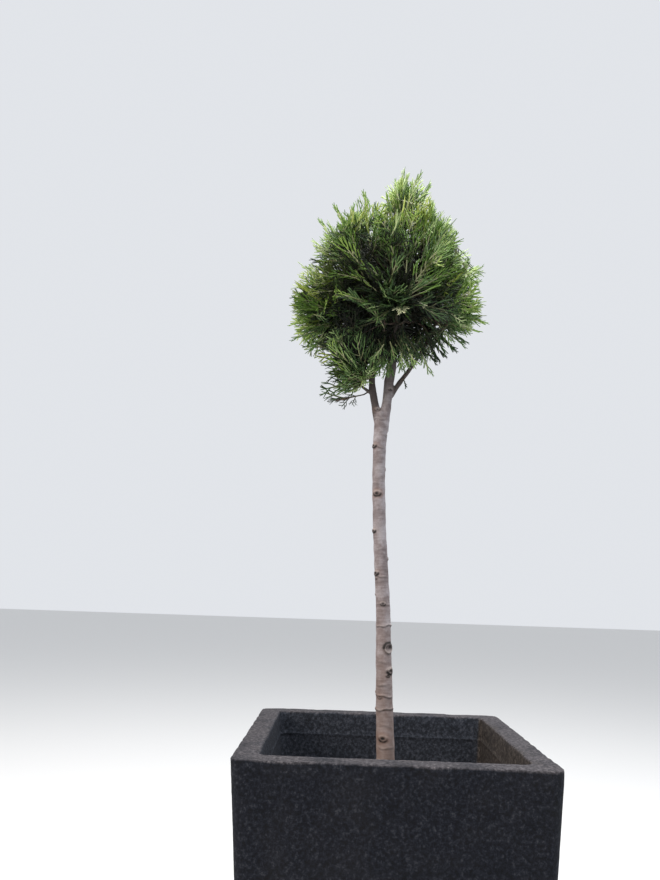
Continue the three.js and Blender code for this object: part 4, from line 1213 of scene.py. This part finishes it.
def spray_tones(tips, pointing, away, painted_light, chance):
    """Each spray's tone, with painted light and shade: dark inside the crown, below and about its dark heart,
    light at its reach and above, and patchy.
    """
    depth = reach_from(tips, pointing, 120)
    bright = 1.8 + painted_light + 1.0 * smoothstep(away, 50, 190) + 0.8 * smoothstep(tips[:, 2], 1260, 1560)
    bright = bright - depth / 12 + 1.6 * (chance.random(len(tips)) < 0.1)
    seen_x, seen_z = seen_from_front(tips)
    # Painted light and shade in patches, as seen from the front
    for x, z, reach, change in PAINTED_LIGHT_PATCHES:
        bright = bright + change * np.exp(-((seen_x - x) ** 2 + (seen_z - z) ** 2) / reach ** 2)
    return np.clip(np.round(bright + chance.normal(0, 0.75, len(tips))), 0, LEVELS - 2).astype(int)


def spray_hues(tips, away, chance):
    """Each spray's family of greens: it drifts across the crown, yellower outside and bluer below."""
    drift = np.sin(tips[:, 0] / 31 + 1) + np.sin(tips[:, 2] / 27 + 2) + np.sin(tips[:, 1] / 23)
    hue = drift * 0.35 + smoothstep(away, 90, 190) * 0.3 - 0.7 * smoothstep(1330 - tips[:, 2], 0, 90)
    low_left = smoothstep(-tips[:, 0], 70, 140) * (tips[:, 2] < 1280)
    hue = hue - 0.2 * smoothstep(tips[:, 2], 1500, 1570) + 0.5 * low_left
    return np.clip(np.round(1.32 - hue + chance.normal(0, 0.5, len(tips))), 0, LAST_GREEN).astype(int)


def spray_forms(name, tips, chance):
    """Each spray's form: the narrow ones grow in the tuft, and the open one most in the loose mass."""
    weights = np.ones((len(tips), len(SPRAY_FORMS)))
    weights[:, :NARROW_FORMS] = 0.25 + 3 * smoothstep(tips[:, 2], 1400, 1560)[:, None]
    weights[:, OPEN_FORM] = 5.0 if name == LOOSE_MASS else 2.4
    ranks = np.cumsum(weights / weights.sum(axis=1, keepdims=True), axis=1)
    return np.minimum((chance.random((len(tips), 1)) > ranks).sum(axis=1), OPEN_FORM)


def stray_sprays(name, chance):
    """A mass's single sprays: origins, directions, facings, lengths, tones, hues and forms."""
    strays = [(*root, *tip, tone) for root, tip, tone in STRAYS.get(name, ())]
    strays = np.array(strays, float).reshape(-1, 7)
    if name == "crown_front":
        strays = np.vstack((strays, hanging_sprays(chance)))
    towards = strays[:, 3:6] - strays[:, :3]
    facing = unit(np.cross(towards, chance.normal(0, 0.3, towards.shape) + (1, 0, 0.4)))
    tone = strays[:, 6].astype(int)
    green = np.where(strays[:, 5] < STRAYS_BLUER_BELOW, LAST_GREEN, LAST_GREEN - 1)
    hue = np.where(tone > 4, AXIS_FAMILY, green)
    form = np.full(len(strays), STRAY_FORMS.get(name, USUAL_STRAY_FORM))
    return strays[:, :3], unit(towards), facing, np.linalg.norm(towards, axis=1), tone, hue, form


def laid_sprays(kind, origins, pointing, facing, lengths, tones, hues, chance):
    """Copies of one kind of spray, each bowed and cupped a little: points, triangles and materials."""
    points, triangles, ages = kinds[kind]
    count = len(origins)
    size = (lengths / SPRAY_LENGTHS[kind // len(SPRAY_FORMS)])[:, None]
    wide = chance.choice((-1, 1), count)[:, None] * np.sqrt(size)
    x = points[None, :, 0] * wide
    y = points[None, :, 1] * size
    bow = chance.uniform(-0.0016, 0.0016, count)[:, None]
    cup = chance.uniform(-0.005, 0.005, count)[:, None]
    z = points[None, :, 2] + bow * y ** 2 + cup * x ** 2
    x = x + chance.uniform(-0.001, 0.001, count)[:, None] * y ** 2
    side = np.cross(pointing, facing)
    placed = (origins[:, None] + x[..., None] * side[:, None]
              + y[..., None] * pointing[:, None] + z[..., None] * facing[:, None])
    # A spray that is mirrored has its triangles turned round, so that they still face outwards
    turned = np.where((wide < 0)[..., None], triangles[None, :, ::-1], triangles[None])
    turned = turned + np.arange(count)[:, None, None] * len(points)
    level = np.clip(tones[:, None] + LIFTS[ages][None], 0, LEVELS - 1)
    family = np.where(ages[None] == AXIS, AXIS_FAMILY, hues[:, None])
    return placed.reshape(-1, 3), turned.reshape(-1, 3), (family * LEVELS + level).ravel()


kinds = [spray_kind(length, form, length) for length in SPRAY_LENGTHS for form in SPRAY_FORMS]
spray_roots = {}
for name, (_, _, seed, _, painted_light) in MASSES.items():
    origins, pointing, facing, lengths = mass_sprays(name)
    spray_roots[name] = origins
    chance = np.random.default_rng(seed + 1)
    tips = origins + pointing * lengths[:, None]
    away = np.hypot(tips[:, 0] - PAINTED_SHADE_HEART[0], tips[:, 2] - PAINTED_SHADE_HEART[1])
    tones = spray_tones(tips, pointing, away, painted_light, chance)
    hues = spray_hues(tips, away, chance)
    forms = spray_forms(name, tips, chance)
    grown = (origins, pointing, facing, lengths, tones, hues, forms)
    *traits, forms = (np.concatenate(pair) for pair in zip(grown, stray_sprays(name, chance)))
    lengths = traits[3]
    nearest_length = np.abs(lengths[:, None] - np.array(SPRAY_LENGTHS)).argmin(axis=1)
    kind_of = nearest_length * len(SPRAY_FORMS) + forms
    all_points, all_triangles, all_materials, used = [], [], [], 0
    for kind in range(len(kinds)):
        chosen = [values[kind_of == kind] for values in traits]
        points, triangles, materials = laid_sprays(kind, *chosen, chance)
        all_points.append(points / 1000)
        all_triangles.append(triangles + used)
        all_materials.append(materials)
        used += len(points)
    mesh = joined_mesh(
        f"{name}_sprays", np.concatenate(all_points), np.concatenate(all_triangles),
        np.concatenate(all_materials),
    )
    sprays = new_piece(f"{name}_sprays", mesh, leaf_materials[0])
    for leaf in leaf_materials[1:]:
        mesh.materials.append(leaf)
    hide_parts(name)
    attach(sprays, "root")


# The twigs: brown and thin, they fork out of each bough's tip and carry every spray. They are round,
# taper with the number of sprays that they feed, and bend a little between their forks.
TWIG_TIP_RADIUS = 0.85
TWIG_GAIN = 0.34
TWIG_THICKEST = 3.0
TWIG_SIDES = 5
TWIG_BEND = 0.09
# A spray joins the twig that is nearest to it, with this share of the way back to the bough counted in
DETOUR_SHARE = 0.45
# A direction that no twig follows, from which each tube's sides are turned
TWIG_ASIDE = (0.31, 0.95, 0.07)
# Twigs without sprays that show under the crown and beside the fork
BARE_TWIG_RADII = np.array((1.7, 1.4, 1.1))
BARE_TWIGS = (
    ((-38.4, 0, 1218), (-44, -6, 1199), (-45, -8, 1176)), ((-46, -4, 1139), (-56, -6, 1132), (-84, -8, 1124)),
    ((-84, -8, 1124), (-95, -10, 1120), (-112, -11, 1116)), ((60, -4, 1229), (74, -6, 1246), (92, -4, 1258)),
    ((18, -4, 1160), (22, -5, 1168), (24, -6, 1176)),
)


def fork_out(name):
    """A mass's twigs as segments: from where to where, and how many sprays each feeds."""
    heart, bough, *_ = MASSES[name]
    base = np.array(bough[-1][:3], float)
    nodes = [base + (np.array(heart) - base) * share for share in (0, 0.34, 0.67, 1)]
    parents = [0, 0, 1, 2]
    gone = [float(np.linalg.norm(node - base)) for node in nodes]
    roots = spray_roots[name]
    for root in roots[np.argsort(np.linalg.norm(roots - base, axis=1))]:
        apart = np.linalg.norm(np.array(nodes) - root, axis=1)
        nearest = int(np.argmin(apart + DETOUR_SHARE * np.array(gone)))
        nodes.append(root)
        parents.append(nearest)
        gone.append(gone[nearest] + apart[nearest])
    fed = np.ones(len(nodes))
    for i in range(len(nodes) - 1, 0, -1):
        fed[parents[i]] += fed[i]
    return np.array(nodes)[parents[1:]], np.array(nodes)[1:], fed[1:]


chance = np.random.default_rng(5)
starts, ends, start_radii, end_radii = [], [], [], []
for name in MASSES:
    low, high, fed = fork_out(name)
    thick = np.minimum(TWIG_TIP_RADIUS + TWIG_GAIN * np.sqrt(fed - 1), TWIG_THICKEST)
    thick = thick * (1 - 0.6 * smoothstep(high[:, 2], 1480, 1550))
    reach = np.linalg.norm(high - low, axis=1, keepdims=True)
    bent = (low + high) / 2 + chance.normal(0, 1, low.shape) * reach * TWIG_BEND
    starts += [low, bent]
    ends += [bent, high]
    start_radii += [thick * 1.05, thick]
    end_radii += [thick, thick * 0.92]
for course in BARE_TWIGS:
    starts.append(np.array(course[:-1], float))
    ends.append(np.array(course[1:], float))
    start_radii.append(BARE_TWIG_RADII[:-1])
    end_radii.append(BARE_TWIG_RADII[1:])
points, triangles = lay_tubes(
    tube_piece(TWIG_SIDES, False), np.concatenate(starts), np.concatenate(ends),
    np.stack((np.concatenate(start_radii), np.concatenate(end_radii)), axis=1), TWIG_ASIDE, 1.0,
)

# Young conifer bark: thin, brown and matt, with a speckle about 5 mm long
twig_bark, tree, shader, place = new_material("twig_bark")
speckle = add_node(tree, "ShaderNodeTexNoise", {"Vector": place, "Scale": 180.0, "Detail": 3.0})
twig_tones = tone_ramp(tree, speckle.outputs["Fac"], ((0.35, "#2a201b"), (0.65, "#594a3f")))
tree.links.new(twig_tones, shader.inputs["Base Color"])
shader.inputs["Roughness"].default_value = 0.8
twig_mesh = joined_mesh("twigs", points / 1000, triangles, np.zeros(len(triangles), int))
twigs = new_piece("twigs", twig_mesh, twig_bark)
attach(twigs, "root")
